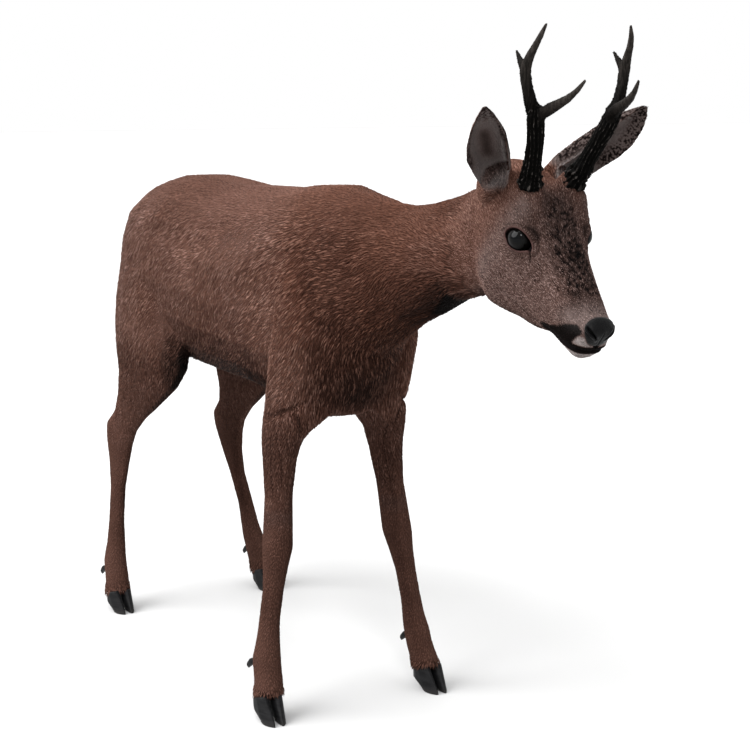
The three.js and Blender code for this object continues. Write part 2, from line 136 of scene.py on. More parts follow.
class Shader:
    """One material and the nodes that make it."""

    def __init__(self, name, **constants):
        self.material = bpy.data.materials.new(name)
        self.material.use_nodes = True
        self.tree = self.material.node_tree
        self.surface = self.tree.nodes["Principled BSDF"]
        for socket, value in constants.items():
            self.surface.inputs[socket.replace("_", " ")].default_value = value

    def node(self, kind, settings=None, inputs=None):
        """Adds a node: its settings first, then the values or links of its sockets."""
        made = self.tree.nodes.new(kind)
        for name, value in (settings or {}).items():
            setattr(made, name, value)
        pairs = inputs.items() if isinstance(inputs, dict) else enumerate(inputs or [])
        for name, value in pairs:
            self.feed(made.inputs[name], value)
        return [Value(self, socket) for socket in made.outputs]

    def feed(self, socket, value):
        if isinstance(value, Value):
            self.tree.links.new(value.socket, socket)
        elif isinstance(value, tuple) and socket.type == "RGBA" and len(value) == 3:
            socket.default_value = (*value, 1)
        else:
            socket.default_value = value

    def place(self):
        return self.node("ShaderNodeTexCoord")[3]

    def stretched(self, place, scale):
        return self.node("ShaderNodeMapping", {}, {"Vector": place, "Scale": scale})[0]

    def clouds(self, place, scale, detail=3.0, roughness=0.55):
        return self.node("ShaderNodeTexNoise", {},
                         {"Vector": place, "Scale": scale, "Detail": detail,
                          "Roughness": roughness})[0]

    def pebbles(self, place, scale, feature="DISTANCE_TO_EDGE"):
        return self.node("ShaderNodeTexVoronoi", {"feature": feature},
                         {"Vector": place, "Scale": scale})[0]

    def mixed(self, share, first, second):
        made = self.tree.nodes.new("ShaderNodeMix")
        made.data_type = "RGBA"
        self.feed(made.inputs[0], share)
        self.feed(made.inputs[6], first)
        self.feed(made.inputs[7], second)
        return Value(self, made.outputs[2])

    def shaded(self, colour, brightness):
        """The colour made lighter or darker by a number."""
        return self.node("ShaderNodeVectorMath", {"operation": "SCALE"},
                         {"Vector": colour, "Scale": brightness})[0]

    def attribute(self, name):
        return self.node("ShaderNodeAttribute", {"attribute_name": name})

    def finish(self, colour, roughness, height=None, depth=0.001, strength=1.0):
        self.feed(self.surface.inputs["Base Color"], colour)
        self.feed(self.surface.inputs["Roughness"], roughness)
        if height is not None:
            normal = self.node("ShaderNodeBump", {},
                               {"Height": height, "Distance": depth, "Strength": strength})[0]
            self.feed(self.surface.inputs["Normal"], normal)
        return self.material


floor_paint = Shader("floor_paint", Specular_IOR_Level=0.1)
floor_place = floor_paint.place()
floor_paint.finish(floor_paint.mixed(floor_paint.clouds(floor_place, 3.0),
                                     (0.43, 0.43, 0.43), (0.44, 0.44, 0.44)),
                   0.9, floor_paint.clouds(floor_place, 180.0), 0.0002, 0.2)
bpy.ops.object.select_all(action="DESELECT")
bpy.ops.mesh.primitive_plane_add(size=60, location=middle_of_floor - Vector((0, 0, 0.0004)))
floor = bpy.context.object
floor.name = "floor"
bpy.ops.object.transform_apply(location=True)
floor.data.materials.append(floor_paint.material)


# ---- Skin -----------------------------------------------------------------------------------
# One hide is drawn over the whole body, from the lips to the hooves, as a taxidermist fits a
# tanned skin on a form. It is shaped from the solids of flesh, which it replaces.

COAT_ON_BODY = 0.0020      # how deep the hide lies under the tips of the hair
COAT_ON_LEGS = 0.0011
COAT_ON_FACE = 0.0008
COAT_ON_EARS = 0.0006
SKIN_GRAIN = 0.0022        # how fine the hide is cast before its details are cut in
EAR_GRAIN = 0.0011
EAR_WAY = np.array((0.4613, -0.5855, 0.6654))      # from the root of the left ear to its tip

flesh = [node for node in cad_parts
         if not node.startswith(("eye_", "antler_")) and "hoof" not in node
         and "dewclaw" not in node]

across_face = np.array((1.0, 0.0, 0.0))
FACE_DOWN = math.radians(48)
along_face = np.array((0.0, -math.cos(FACE_DOWN), -math.sin(FACE_DOWN)))
up_face = np.array((0.0, -math.sin(FACE_DOWN), math.cos(FACE_DOWN)))
eye_low, eye_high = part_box("eye_left")
eye_left = np.array((eye_low + eye_high) / 2)
EYE_RADIUS = (eye_high.z - eye_low.z) / 2
poll = eye_left * (0, 1, 1) - 0.086 * along_face + 0.013 * up_face


def on_face(points):
    """Each point as millimetres across the face, down its length from the poll, and up."""
    away = points - poll
    return np.stack([away @ across_face, away @ along_face, away @ up_face], axis=1) * 1000


def ease(values, low, high):
    """0 up to low, 1 from high, and smooth between."""
    share = np.clip((values - low) / (high - low), 0, 1)
    return share * share * (3 - 2 * share)


def points_of(piece):
    points = np.empty(len(piece.data.vertices) * 3, np.float32)
    piece.data.vertices.foreach_get("co", points)
    return points.reshape(-1, 3).astype(float)


def move_points(piece, points):
    piece.data.vertices.foreach_set("co", points.astype(np.float32).ravel())
    piece.data.update()


def normals_of(piece):
    normals = np.empty(len(piece.data.vertices) * 3, np.float32)
    piece.data.vertex_normals.foreach_get("vector", normals)
    return normals.reshape(-1, 3).astype(float)


def edges_of(piece):
    edges = np.empty(len(piece.data.edges) * 2, np.int32)
    piece.data.edges.foreach_get("vertices", edges)
    return edges.reshape(-1, 2)


def eased(values, edges, rounds, share):
    """Each value moved part of the way to the mean of its neighbours, that many times."""
    count = np.maximum(np.bincount(edges.ravel(), minlength=len(values)), 1)[:, None]
    share = np.broadcast_to(np.asarray(share, float).reshape(-1, 1), (len(values), 1))
    for _ in range(rounds):
        total = np.empty_like(values)
        for k in range(values.shape[1]):
            total[:, k] = (np.bincount(edges[:, 0], values[edges[:, 1], k], len(values))
                           + np.bincount(edges[:, 1], values[edges[:, 0], k], len(values)))
        values = values + share * (total / count - values)
    return values


def only(piece):
    bpy.ops.object.select_all(action="DESELECT")
    piece.select_set(True)
    bpy.context.view_layer.objects.active = piece


def apply_modifier(piece, kind, **settings):
    only(piece)
    modifier = piece.modifiers.new(kind.lower(), kind)
    for name, value in settings.items():
        setattr(modifier, name, value)
    bpy.ops.object.modifier_apply(modifier=modifier.name)


def join_into(piece, others):
    bpy.ops.object.select_all(action="DESELECT")
    for part in (piece, *others):
        part.select_set(True)
    bpy.context.view_layer.objects.active = piece
    if others:
        bpy.ops.object.join()


def hull_round(name, corners):
    """A closed solid drawn tight round those points."""
    mesh = bpy.data.meshes.new(name)
    mesh.from_pydata([tuple(corner) for corner in corners], [], [])
    hull = bpy.data.objects.new(name, mesh)
    bpy.context.collection.objects.link(hull)
    only(hull)
    bpy.ops.object.mode_set(mode="EDIT")
    bpy.ops.mesh.select_all(action="SELECT")
    bpy.ops.mesh.convex_hull()
    bpy.ops.object.mode_set(mode="OBJECT")
    return hull


def copy_of(name, nodes, grow):
    """One mesh of copies of those solids, each grown a little so that they run together."""
    twins = []
    for node in nodes:
        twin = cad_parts[node].copy()
        twin.data = twin.data.copy()
        twin.parent = None
        twin.matrix_world.identity()
        bpy.context.collection.objects.link(twin)
        only(twin)
        bpy.ops.object.mode_set(mode="EDIT")
        bpy.ops.mesh.select_all(action="SELECT")
        bpy.ops.mesh.remove_doubles(threshold=0.00002)
        bpy.ops.mesh.normals_make_consistent(inside=False)
        bpy.ops.object.mode_set(mode="OBJECT")
        if grow:
            apply_modifier(twin, "DISPLACE", strength=grow, mid_level=0)
        twins.append(twin)
    join_into(twins[0], twins[1:])
    joined = twins[0]
    joined.name = name
    joined.data.name = name
    joined.data.materials.clear()
    return joined


def keep_largest(piece):
    """Deletes all but the largest shell, such as the small hollows left inside by a remesh."""
    edges = edges_of(piece)
    label = np.arange(len(piece.data.vertices))
    while True:
        least = np.minimum(label[edges[:, 0]], label[edges[:, 1]])
        lower = label.copy()
        np.minimum.at(lower, edges[:, 0], least)
        np.minimum.at(lower, edges[:, 1], least)
        lower = lower[lower]
        if np.array_equal(lower, label):
            break
        label = lower
    names, sizes = np.unique(label, return_counts=True)
    stray = label != names[np.argmax(sizes)]
    if stray.any():
        only(piece)
        bpy.ops.object.mode_set(mode="EDIT")
        bpy.ops.mesh.select_all(action="DESELECT")
        bpy.ops.object.mode_set(mode="OBJECT")
        piece.data.vertices.foreach_set("select", stray)
        bpy.ops.object.mode_set(mode="EDIT")
        bpy.ops.mesh.select_mode(type="VERT")
        bpy.ops.mesh.delete(type="VERT")
        bpy.ops.object.mode_set(mode="OBJECT")


closed_lids = copy_of("closed_lids", ["eye_left", "eye_right"], 0.0012)
skin = copy_of("skin", [node for node in flesh if not node.startswith("ear_")], 0.0004)
join_into(skin, [closed_lids])
WEB_CORNERS = np.array([      # a web of skin spans the corner between the forearm and the chest
    (73, -61, 363), (72, -48, 366), (24, -82, 405), (24, -66, 406),
    (78, -68, 410), (78, -48, 412), (32, -84, 416), (32, -60, 418)])
for sign in (-1, 1):
    join_into(skin, [hull_round("web", WEB_CORNERS * (sign, 1, 1) / 1000)])
apply_modifier(skin, "REMESH", mode="VOXEL", voxel_size=SKIN_GRAIN)
keep_largest(skin)

points = points_of(skin)
face = on_face(points)
near_head = ease(face[:, 1], -60, 0) * ease(-points[:, 1], 0.38, 0.44)
on_leg = 1 - ease(points[:, 2], 0.36, 0.44)
on_tail = ease(points[:, 1], 0.596, 0.606)
slack = 0.5 * (1 - np.maximum.reduce([0.72 * near_head, 0.8 * on_leg, 0.8 * on_tail]))
move_points(skin, eased(points, edges_of(skin), 44, slack))

group = skin.vertex_groups.new(name="broad")
broad = 1 - np.maximum(near_head, 0.85 * on_leg)
for index in np.flatnonzero(broad > 0.02):
    group.add([int(index)], float(broad[index]), "REPLACE")
apply_modifier(skin, "DECIMATE", ratio=0.30, vertex_group="broad")
skin.vertex_groups.clear()

ear_roots = []
for side, sign in (("left", 1), ("right", -1)):
    ear = copy_of("ear", ["ear_" + side], 0)
    up_ear = EAR_WAY * (sign, 1, 1)
    cloud = points_of(ear)
    rise = cloud @ up_ear
    rise = (rise - rise.min()) / (rise.max() - rise.min())
    ring = cloud[(rise > 0.15) & (rise < 0.26)]
    into_head = up_ear * 0.020 + (0.004 * sign, 0, 0.006)
    join_into(ear, [hull_round("cuff", np.concatenate([ring, ring - into_head]))])
    apply_modifier(ear, "REMESH", mode="VOXEL", voxel_size=EAR_GRAIN)
    keep_largest(ear)
    shape = eased(points_of(ear), edges_of(ear), 8, 0.5)
    move_points(ear, shape)
    ear_roots.append(shape[shape[:, 2] < np.percentile(shape[:, 2], 12)].mean(axis=0))
    apply_modifier(skin, "BOOLEAN", operation="UNION", solver="MANIFOLD", object=ear)
    bpy.data.objects.remove(ear)


def cut_finer(piece, wanted):
    """Halves every edge between the wanted points, so that fine forms can be shaped there."""
    only(piece)
    bpy.ops.object.mode_set(mode="EDIT")
    bpy.ops.mesh.select_mode(type="VERT")
    bpy.ops.mesh.select_all(action="DESELECT")
    bpy.ops.object.mode_set(mode="OBJECT")
    piece.data.vertices.foreach_set("select", wanted)
    bpy.ops.object.mode_set(mode="EDIT")
    bpy.ops.mesh.select_mode(type="VERT")
    bpy.ops.mesh.subdivide(number_cuts=1)
    bpy.ops.mesh.select_all(action="SELECT")
    bpy.ops.mesh.quads_convert_to_tris()
    bpy.ops.object.mode_set(mode="OBJECT")


def eye_plane(points, side):
    """Millimetres along the slit of the eye, across it, and out from the middle of the ball."""
    out = side * 0.82 * across_face + 0.28 * along_face + 0.50 * up_face
    out /= np.linalg.norm(out)
    slit = math.cos(math.radians(19)) * along_face + math.sin(math.radians(19)) * up_face
    slit -= (slit @ out) * out
    slit /= np.linalg.norm(slit)
    lift = np.cross(out, slit)
    lift *= np.sign(lift @ up_face)
    away = (points - eye_left * (side, 1, 1)) * 1000
    return np.stack([away @ slit, away @ lift, away @ out], axis=1), slit, lift, out


def span_to(line, places):
    """The distance from each place to a line of points, and how far along it the nearest is."""
    best = np.full(len(places), 1e9)
    where = np.zeros(len(places))
    for k, (start, end) in enumerate(zip(line[:-1], line[1:])):
        reach = end - start
        share = np.clip(((places - start) @ reach) / max(reach @ reach, 1e-12), 0, 1)
        gap = np.linalg.norm(places - start - share[:, None] * reach, axis=1)
        nearer = gap < best
        best[nearer] = gap[nearer]
        where[nearer] = ((k + share) / (len(line) - 1))[nearer]
    return best, where


# The edges of the lids, in millimetres along the slit from its rear corner and across it.
UPPER_LID = np.array([(-16.6, -4.6), (-15.6, -0.8), (-13.2, 3.0), (-9.3, 6.3), (-5.0, 8.3),
                      (0.5, 9.3), (6.0, 9.0), (11.5, 7.1), (16.0, 4.4), (18.4, 2.4), (20.2, -0.6)])
LOWER_LID = np.array([(-16.6, -4.6), (-15.8, -7.2), (-13.2, -9.6), (-8.0, -11.6), (-2.8, -12.2),
                      (2.2, -12.0), (6.6, -10.9), (10.4, -8.6), (13.3, -5.7), (16.0, -3.2),
                      (20.2, -1.4)])
REAR_CORNER, FRONT_CORNER = UPPER_LID[0, 0], UPPER_LID[-1, 0]


def lid_line(slit, upper):
    """How high the upper or lower lid's edge stands at that place along the slit."""
    return np.interp(slit, *(UPPER_LID if upper else LOWER_LID).T)


def in_slit(eye):
    """The places between the lids."""
    return ((eye[:, 1] < lid_line(eye[:, 0], True)) & (eye[:, 1] > lid_line(eye[:, 0], False))
            & (eye[:, 0] > REAR_CORNER) & (eye[:, 0] < FRONT_CORNER))


lid_edge = np.concatenate([UPPER_LID, LOWER_LID[::-1]])
TEAR_GROOVE = np.array([(18.6, -1.8), (20.4, -3.4), (22.4, -5.4), (24.4, -7.8), (26.0, -10.4)])

# each crease is painted with shade down its groove, as dark as its shade value
CREASES = [      # each: the line on the right side in millimetres, its width, depth and shade
    # behind the muscle of the thigh
    ([(-102, 383, 583), (-104, 363, 557), (-103, 353, 531), (-94, 375, 489), (-98, 358, 451),
     (-99, 357, 426)], 2.9, 3.4, 0.95),
    ([(-104, 362, 569), (-101, 351, 523), (-96, 361, 467), (-98, 346, 436)], 2.2, 1.6, 0.50),
    # folds of the flank
    ([(-86, 139, 647), (-94, 123, 632), (-101, 103, 616), (-105, 98, 597)], 3.1, 3.6, 0.97),
    ([(-85, 111, 645), (-90, 95, 635), (-94, 75, 627), (-97, 66, 617)], 2.8, 3.0, 0.90),
    ([(-88, 152, 640), (-96, 136, 624), (-102, 122, 608)], 2.4, 1.6, 0.5),
    # behind the shoulder and arm
    ([(-94, -3, 604), (-96, -12, 567), (-96, -20, 521), (-91, 2, 482),
     (-76, 44, 436)], 8.0, 3.0, 0.26),
    ([(-99, -42, 530), (-99, -40, 512)], 4.0, 2.4, 0.90),
    # under the elbow
    ([(-100, -18, 393), (-100, -38, 399), (-95, -52, 405), (-83, -68, 412),
     (-64, -78, 420)], 4.8, 4.6, 0.90),
    # in the armpit
    ([(-83, -68, 412), (-77, -68, 398), (-72, -68, 385), (-68, -63, 373)], 4.0, 2.8, 0.85),
    # cords of the forearm
    ([(-100, -36, 393), (-100, -33, 365), (-99, -32, 330), (-99, -35, 308),
     (-100, -38, 286)], 1.9, 1.6, 0.62),
    ([(-97, -43, 380), (-95, -45, 358), (-91, -47, 343), (-90, -48, 323),
     (-91, -47, 305)], 1.9, 1.5, 0.58),
    ([(-65, -69, 392), (-60, -62, 377), (-61, -49, 361), (-63, -41, 341), (-67, -42, 320),
     (-75, -45, 285), (-77, -47, 260)], 2.2, 1.8, 0.66),
    ([(-60, -26, 334), (-67, -35, 298), (-75, -45, 274)], 2.0, 1.4, 0.5),
]

# The hide stands up round the foot of each antler as a short furred pedicle.
PEDICLE_HEIGHT = 0.018
antler_up = np.array((0.0, -0.28, 0.96))
middle_of_crown = np.array((0.0, -0.452, 0.744))
antler_feet = {}
points = points_of(skin)
for side in ("left", "right"):
    cloud = points_of(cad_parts[f"antler_{side}_lower_beam"])
    antler_feet[side] = cloud[cloud[:, 2] < np.percentile(cloud[:, 2], 20)].mean(axis=0)
    away = points - antler_feet[side]
    rise = away @ antler_up
    reach = np.linalg.norm(away - rise[:, None] * antler_up, axis=1)
    lifted = (1 - ease(reach, 0.012, 0.026)) * (1 - ease(np.abs(rise), 0.022, 0.044))
    points += (PEDICLE_HEIGHT * lifted)[:, None] * antler_up
crown_gap = np.linalg.norm((points - middle_of_crown) * (0.6, 1, 1), axis=1)
points[:, 2] -= 0.007 * (1 - ease(crown_gap, 0.008, 0.034))      # a dip between the pedicles
move_points(skin, points)

for fineness in range(2):
    points = points_of(skin)
    face = on_face(points)
    wanted = np.zeros(len(points), bool)
    for line, width, depth, shade in CREASES:
        if width < 5:
            on_right = points * (-np.sign(points[:, :1]) * (1, 0, 0) + (0, 1, 1))
            gap, _ = span_to(np.array(line) / 1000, on_right)
            wanted |= gap < (0.012, 0.006)[fineness]
    for side in (1, -1):
        eye, *_ = eye_plane(points, side)
        wanted |= (np.hypot(eye[:, 0], eye[:, 1] + 1) < (31, 25)[fineness]) & (eye[:, 2] > -10)
    muzzle = (face[:, 1] > (158, 196)[fineness]) & (face[:, 2] > -60)
    wanted |= muzzle & ((face[:, 1] > 190) | (face[:, 2] < -30))
    cut_finer(skin, wanted)

points = points_of(skin)
face = on_face(points)
muzzle_weight = ease(face[:, 1], 150, 165)
eye_weight = np.zeros(len(points))
for side in (1, -1):
    eye, *_ = eye_plane(points, side)
    eye_weight = np.maximum(eye_weight, (1 - ease(np.hypot(eye[:, 0], eye[:, 1]), 20, 30))
                            * ease(eye[:, 2], -14, -6))
ear_weight = np.zeros(len(points))
for root in ear_roots:
    ear_weight = np.maximum(ear_weight,
                            1 - ease(np.linalg.norm(points - root, axis=1), 0.016, 0.034))
share = 0.5 * np.maximum.reduce([muzzle_weight, eye_weight, 0.9 * ear_weight])
points = eased(points, edges_of(skin), 10, share)
move_points(skin, points)

# The hide lies under the hair by the depth of the coat, and the bare places not at all.
face = on_face(points)
normals = normals_of(skin)
PAD_SLOPE = 1.17      # how the edge of the nose pad runs down the side of the muzzle


def pad_edge(face):
    """How far inside the nose pad's upper edge each place lies, in millimetres."""
    return (face[:, 2] + PAD_SLOPE * (face[:, 1] - 201.8) - 3) / math.hypot(1, PAD_SLOPE)


def mouth_height(face):
    """How far above the line between the lips each place lies, in millimetres."""
    slope = math.radians(24)
    return (face[:, 2] + 56 - (face[:, 1] - 160) * math.tan(slope)) * math.cos(slope)


def ear_share(points):
    """1 on the shell of an ear and 0 on the head."""
    face = on_face(points)
    rise = ((np.abs(face[:, 0]) - 33) * 0.45 + (face[:, 2] + 8) * 0.75
            - np.maximum(face[:, 1], 0) * 0.4)
    return ease(rise, 4, 16) * (1 - ease(face[:, 1], 40, 52))


on_leg = 1 - ease(points[:, 2], 0.36, 0.46)
near_head = ease(face[:, 1], -75, -5) * ease(-points[:, 1], 0.34, 0.42)
on_ear = ear_share(points) * near_head
bare = ease(pad_edge(face), -1.5, 1.5) * (face[:, 1] > 195)
lips = (1 - ease(np.abs(mouth_height(face)), 1, 5)) * ease(face[:, 1], 156, 164)
depth = COAT_ON_BODY + (COAT_ON_LEGS - COAT_ON_BODY) * on_leg
depth = depth + (COAT_ON_FACE - depth) * near_head
depth = depth + (COAT_ON_EARS - depth) * on_ear
depth = depth * (1 - np.maximum(bare, 0.8 * lips)) * (1 - 0.7 * eye_weight)
depth = depth * ease(points[:, 2], 0.026, 0.04)
points = points - normals * depth[:, None]
points[:, 2] -= 0.0022 * (1 - ease(points[:, 2], 0.030, 0.045))

# Lids: the hide is parted over each eye, its edge rolled against the ball, and creased above.
crease_shade = np.zeros(len(points))
for side in (1, -1):
    eye, slit, lift, out = eye_plane(points, side)
    reach = np.hypot(eye[:, 0], eye[:, 1])
    here = (reach < 32) & (eye[:, 2] > -9)
    along, across, height = eye[here].T
    away, _ = span_to(lid_edge, eye[here][:, :2])
    away = np.where(in_slit(eye[here]), -away, away)
    radius = EYE_RADIUS * 1000
    ball = np.sqrt(np.maximum(radius ** 2 - along ** 2 - across ** 2, 0))
    cover = np.sqrt(np.maximum((radius + 1.0) ** 2 - along ** 2 - across ** 2, 0))
    cover = np.where(cover > 0, cover, -20)
    rim_height = 0.7 + 0.7 * ease(across, -3, 4) - 0.4 * ease(along, 8, 16)
    lid = rim_height * np.exp(-((away - 1.3) / 1.0) ** 2)
    above = ease(across, lid_line(along, True) - 6, lid_line(along, True))
    frontal = ease(along, -6, 9)
    crease_at = 3.8 + 3.4 * frontal
    crease = ((0.5 + above * (0.4 + 1.9 * frontal))
              * np.exp(-((away - crease_at) / (0.9 + 0.9 * frontal)) ** 2))
    swell = 0.9 * above * np.exp(-((away - crease_at - 3.4) / 2.0) ** 2)
    outside = np.maximum(height, cover) + lid - crease + swell
    tear, down = span_to(TEAR_GROOVE, eye[here][:, :2])
    outside -= 3.0 * (1 - 0.6 * down) * np.exp(-(tear / 1.2) ** 2)
    # painted shade in the tear groove and in the fold above the front of the eye
    crease_shade[here] = np.maximum.reduce([
        crease_shade[here], 0.92 * (1 - 0.5 * down) * np.exp(-(tear / 1.3) ** 2),
        0.80 * above * frontal * (1 - ease(along, 15, 23))
        * np.exp(-((away - crease_at - 0.8) / 3.9) ** 2)])
    hidden = np.minimum(ball - 3.0, height)
    hidden += (np.maximum(height - 3.2, hidden) - hidden) * ease(along, 13.6, 16.0)
    open_share = 1 - ease(away, -0.9, 0.2)
    new_height = outside + (hidden - outside) * open_share
    fade = 1 - ease(reach[here], 25, 31.5)
    points[here] += (out[None, :] * ((new_height - height) * fade)[:, None]) / 1000

# Muzzle: the pad's edge, the nostrils with the fold beside each, the lips and the mouth.
face = on_face(points)
move_points(skin, points)
normals = normals_of(skin)
NOSTRIL = np.array([(17.6, 207.6, 0.5), (16.4, 211.8, -0.8), (13.4, 215.6, -2.2),
                    (9.6, 218.2, -4.4), (6.4, 219.6, -8.2)])
mirrored = face * (np.sign(face[:, 0])[:, None] * (1, 0, 0) + (0, 1, 1))
gap, along_nostril = span_to(NOSTRIL, mirrored)
width = 1.0 + 1.1 * np.sin(np.pi * np.clip(along_nostril * 0.9 + 0.1, 0, 1))
hole = 3.6 * np.exp(-(gap / (0.72 * width)) ** 2) * (face[:, 1] > 200)
wing = NOSTRIL + np.array([-0.4, 1.4, -2.8])
wing_gap, _ = span_to(wing, mirrored)
fold = 1.3 * np.exp(-(wing_gap / 1.5) ** 2) * (face[:, 1] > 200)
under_wing = NOSTRIL[:4] + np.array([-0.8, 2.9, -5.6])
under_gap, _ = span_to(under_wing, mirrored)
fold -= 1.3 * np.exp(-(under_gap / 1.2) ** 2) * (face[:, 1] > 200)
ridge = NOSTRIL + np.array([0.2, -2.2, 3.2])
ridge_gap, _ = span_to(ridge, mirrored)
fold += 0.7 * np.exp(-(ridge_gap / 2.0) ** 2) * (face[:, 1] > 200)
pad_rim = pad_edge(face)
front = ease(face[:, 1], 196, 203)
seam = 0.5 * np.exp(-(pad_rim / 0.9) ** 2) * front
proud = 0.5 * ease(pad_rim, 0.5, 3) * front
cleft = (0.9 * np.exp(-(face[:, 0] / 0.8) ** 2) * ease(face[:, 1], 214, 219)
         * (1 - ease(face[:, 2], -4, 2)))
mouth = mouth_height(face)
gape = ease(face[:, 1], 158, 168)
slit_depth = (1.4 + 1.6 * ease(face[:, 1], 196, 214)) * gape
parting = slit_depth * np.exp(-(mouth / (1.2 + 0.8 * ease(face[:, 1], 196, 214))) ** 2)
lip_roll = gape * (0.8 * np.exp(-((mouth - 4.2) / 2.0) ** 2)
                   + 0.9 * np.exp(-((mouth + 3.6) / 1.9) ** 2))
JAW_LINE = np.array([(96, -82), (117, -75.5), (137, -69), (154, -61), (166, -53)], float)
jaw_gap, along_jaw = span_to(JAW_LINE, face[:, 1:])
on_cheek = ease(np.abs(face[:, 0]), 12, 20) * near_head
jaw_groove = (1.7 * np.exp(-(jaw_gap / 2.6) ** 2) * on_cheek
              * np.sin(np.pi * np.clip(along_jaw + 0.12, 0, 1)))
points += normals * ((fold + proud + lip_roll - hole - seam - cleft - parting - jaw_groove)
                     / 1000 * near_head)[:, None]

# Body: the folds of the flank, the crease behind the thigh's muscle, and the cords of the legs.
move_points(skin, points)
normals = normals_of(skin)
grooves = np.zeros(len(points))
beside_groove = np.zeros(len(points))


def furrow(line, width, depth, shade):
    """A groove down the hide along a line given on the right side, and its twin on the left, with
    painted shade along both.
    """
    line = np.array(line, float)
    steps = np.linspace(0, len(line) - 1, 18)
    fine = np.stack([np.interp(steps, np.arange(len(line)), line[:, k]) for k in range(3)], axis=1)
    for sign in (1, -1):
        path = fine / 1000 * (sign, 1, 1)
        box = (np.abs(points - path.mean(axis=0)) < np.ptp(path, axis=0) / 2 + 0.030).all(axis=1)
        near = np.flatnonzero(box)
        path = np.array([points[near[np.argmin(((points[near] - place) ** 2).sum(axis=1))]]
                         for place in path])
        path[1:-1] = (path[:-2] + 2 * path[1:-1] + path[2:]) / 4
        gap, share = span_to(path, points[near])
        taper = np.sin(np.pi * np.clip(share * 0.92 + 0.04, 0, 1)) ** 0.5
        notch = np.exp(-(gap * 1000 / width) ** 2) * taper
        grooves[near] += depth / 1000 * notch
        crease_shade[near] = np.maximum(crease_shade[near], shade * notch)
        beside_groove[near] = np.maximum(beside_groove[near], gap < 0.016)


for line, width, depth, shade in CREASES:
    furrow(line, width, depth, shade)
for side in ("left", "right"):
    # each groove of a leg: which way it faces fore and aft, and its depth in millimetres
    for pair, bones, leg_grooves in (
            ("fore", ("forearm", "cannon"), ((0.9, 1.3), (-0.95, 1.1))),
            ("hind", ("shank", "cannon"), ((0.9, 1.5), (-0.9, 1.1)))):
        for bone in bones:
            low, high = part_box(f"{pair}_{side}_{bone}")
            inside = ((points[:, 0] > low.x - 0.004) & (points[:, 0] < high.x + 0.004)
                      & (points[:, 1] > low.y - 0.004) & (points[:, 1] < high.y + 0.004)
                      & (points[:, 2] > low.z) & (points[:, 2] < high.z))
            if not inside.any():
                continue
            rise = (points[:, 2] - low.z) / (high.z - low.z)
            belt = np.exp(-((rise - 0.5) / 0.36) ** 4) * inside
            for fore_and_aft, cord in leg_grooves:
                # a groove runs down the leg where the hide faces half sideways, half backwards
                turn = np.abs(normals[:, 0]) * 0.72 + normals[:, 1] * fore_and_aft * 0.69
                grooves += cord / 1000 * np.exp(-((turn - 0.97) / 0.06) ** 2) * belt
points -= normals * (grooves * (1 - bare))[:, None]

# The hide swells out to the root of each dewclaw, so that little more than its tip shows.
for node in [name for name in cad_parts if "dewclaw" in name]:
    low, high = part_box(node)
    claw_root = np.array(((low.x + high.x) / 2, high.y - 0.009, (low.z + high.z) / 2 + 0.003))
    toward = claw_root - points
    gap = np.linalg.norm(toward, axis=1)
    points += toward * (0.96 * np.exp(-(gap / 0.0210) ** 2))[:, None]
move_points(skin, points)


def keep(piece, name, values):
    """Stores one number, or three, for every point of a piece."""
    values = np.asarray(values, np.float32)
    kind, field = ("FLOAT", "value") if values.ndim == 1 else ("FLOAT_VECTOR", "vector")
    layer = piece.data.attributes.new(name, kind, "POINT")
    layer.data.foreach_set(field, values.ravel())


lid_gap = np.full(len(points), 99.0)
for side in (1, -1):
    eye, *_ = eye_plane(points, side)
    here = (np.hypot(eye[:, 0], eye[:, 1]) < 32) & (eye[:, 2] > -12)
    away, _ = span_to(lid_edge, eye[here][:, :2])
    lid_gap[here] = np.minimum(lid_gap[here], np.where(in_slit(eye[here]), -away, away))

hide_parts(*flesh)
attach(skin, "root")

only(skin)
bpy.ops.object.shade_smooth()


# ---- Markings and the lie of the hair -------------------------------------------------------
# Red-brown summer coat, darker under the neck and down the legs, partly of its own colour and
# partly as painted shade, with a grey grizzled face, a dark blaze, black lips and ear rims and a
# pale chin. Painted shade also lies under the body and jaw, in the creases and at the root of
# each hair. Hair lies from the nose back and down.

def ear_edges(points):
    """How far each place lies from the inner and from the outer rim of its ear, in mm."""
    face = on_face(points)
    up, aside = face[:, 2], np.abs(face[:, 0])
    levels = (-20, -10, 0, 10, 20, 30, 40, 50, 60, 70, 80, 90, 100)
    outer = np.interp(up, levels, (59, 62, 71, 81, 90, 98, 102.5, 107, 108.5, 110, 109, 108, 105))
    inner = np.interp(up, levels, (37, 32, 24, 23, 29, 35, 41, 47.5, 54, 63, 73, 84, 96))
    return aside - inner, outer - aside


def ear_front(points, normals):
    """1 inside the cup of an ear, 0 on its back."""
    inward = -normals[:, 0] * np.sign(points[:, 0])
    return ease(normals @ np.array((0.0, -0.73, -0.44)) + 0.52 * inward, -0.08, 0.12)


def cloudy(points, fineness):
    """A chance value, from about -1 to 1, that drifts over the hide."""
    return np.array([noise.noise(Vector(place) * fineness) for place in points])


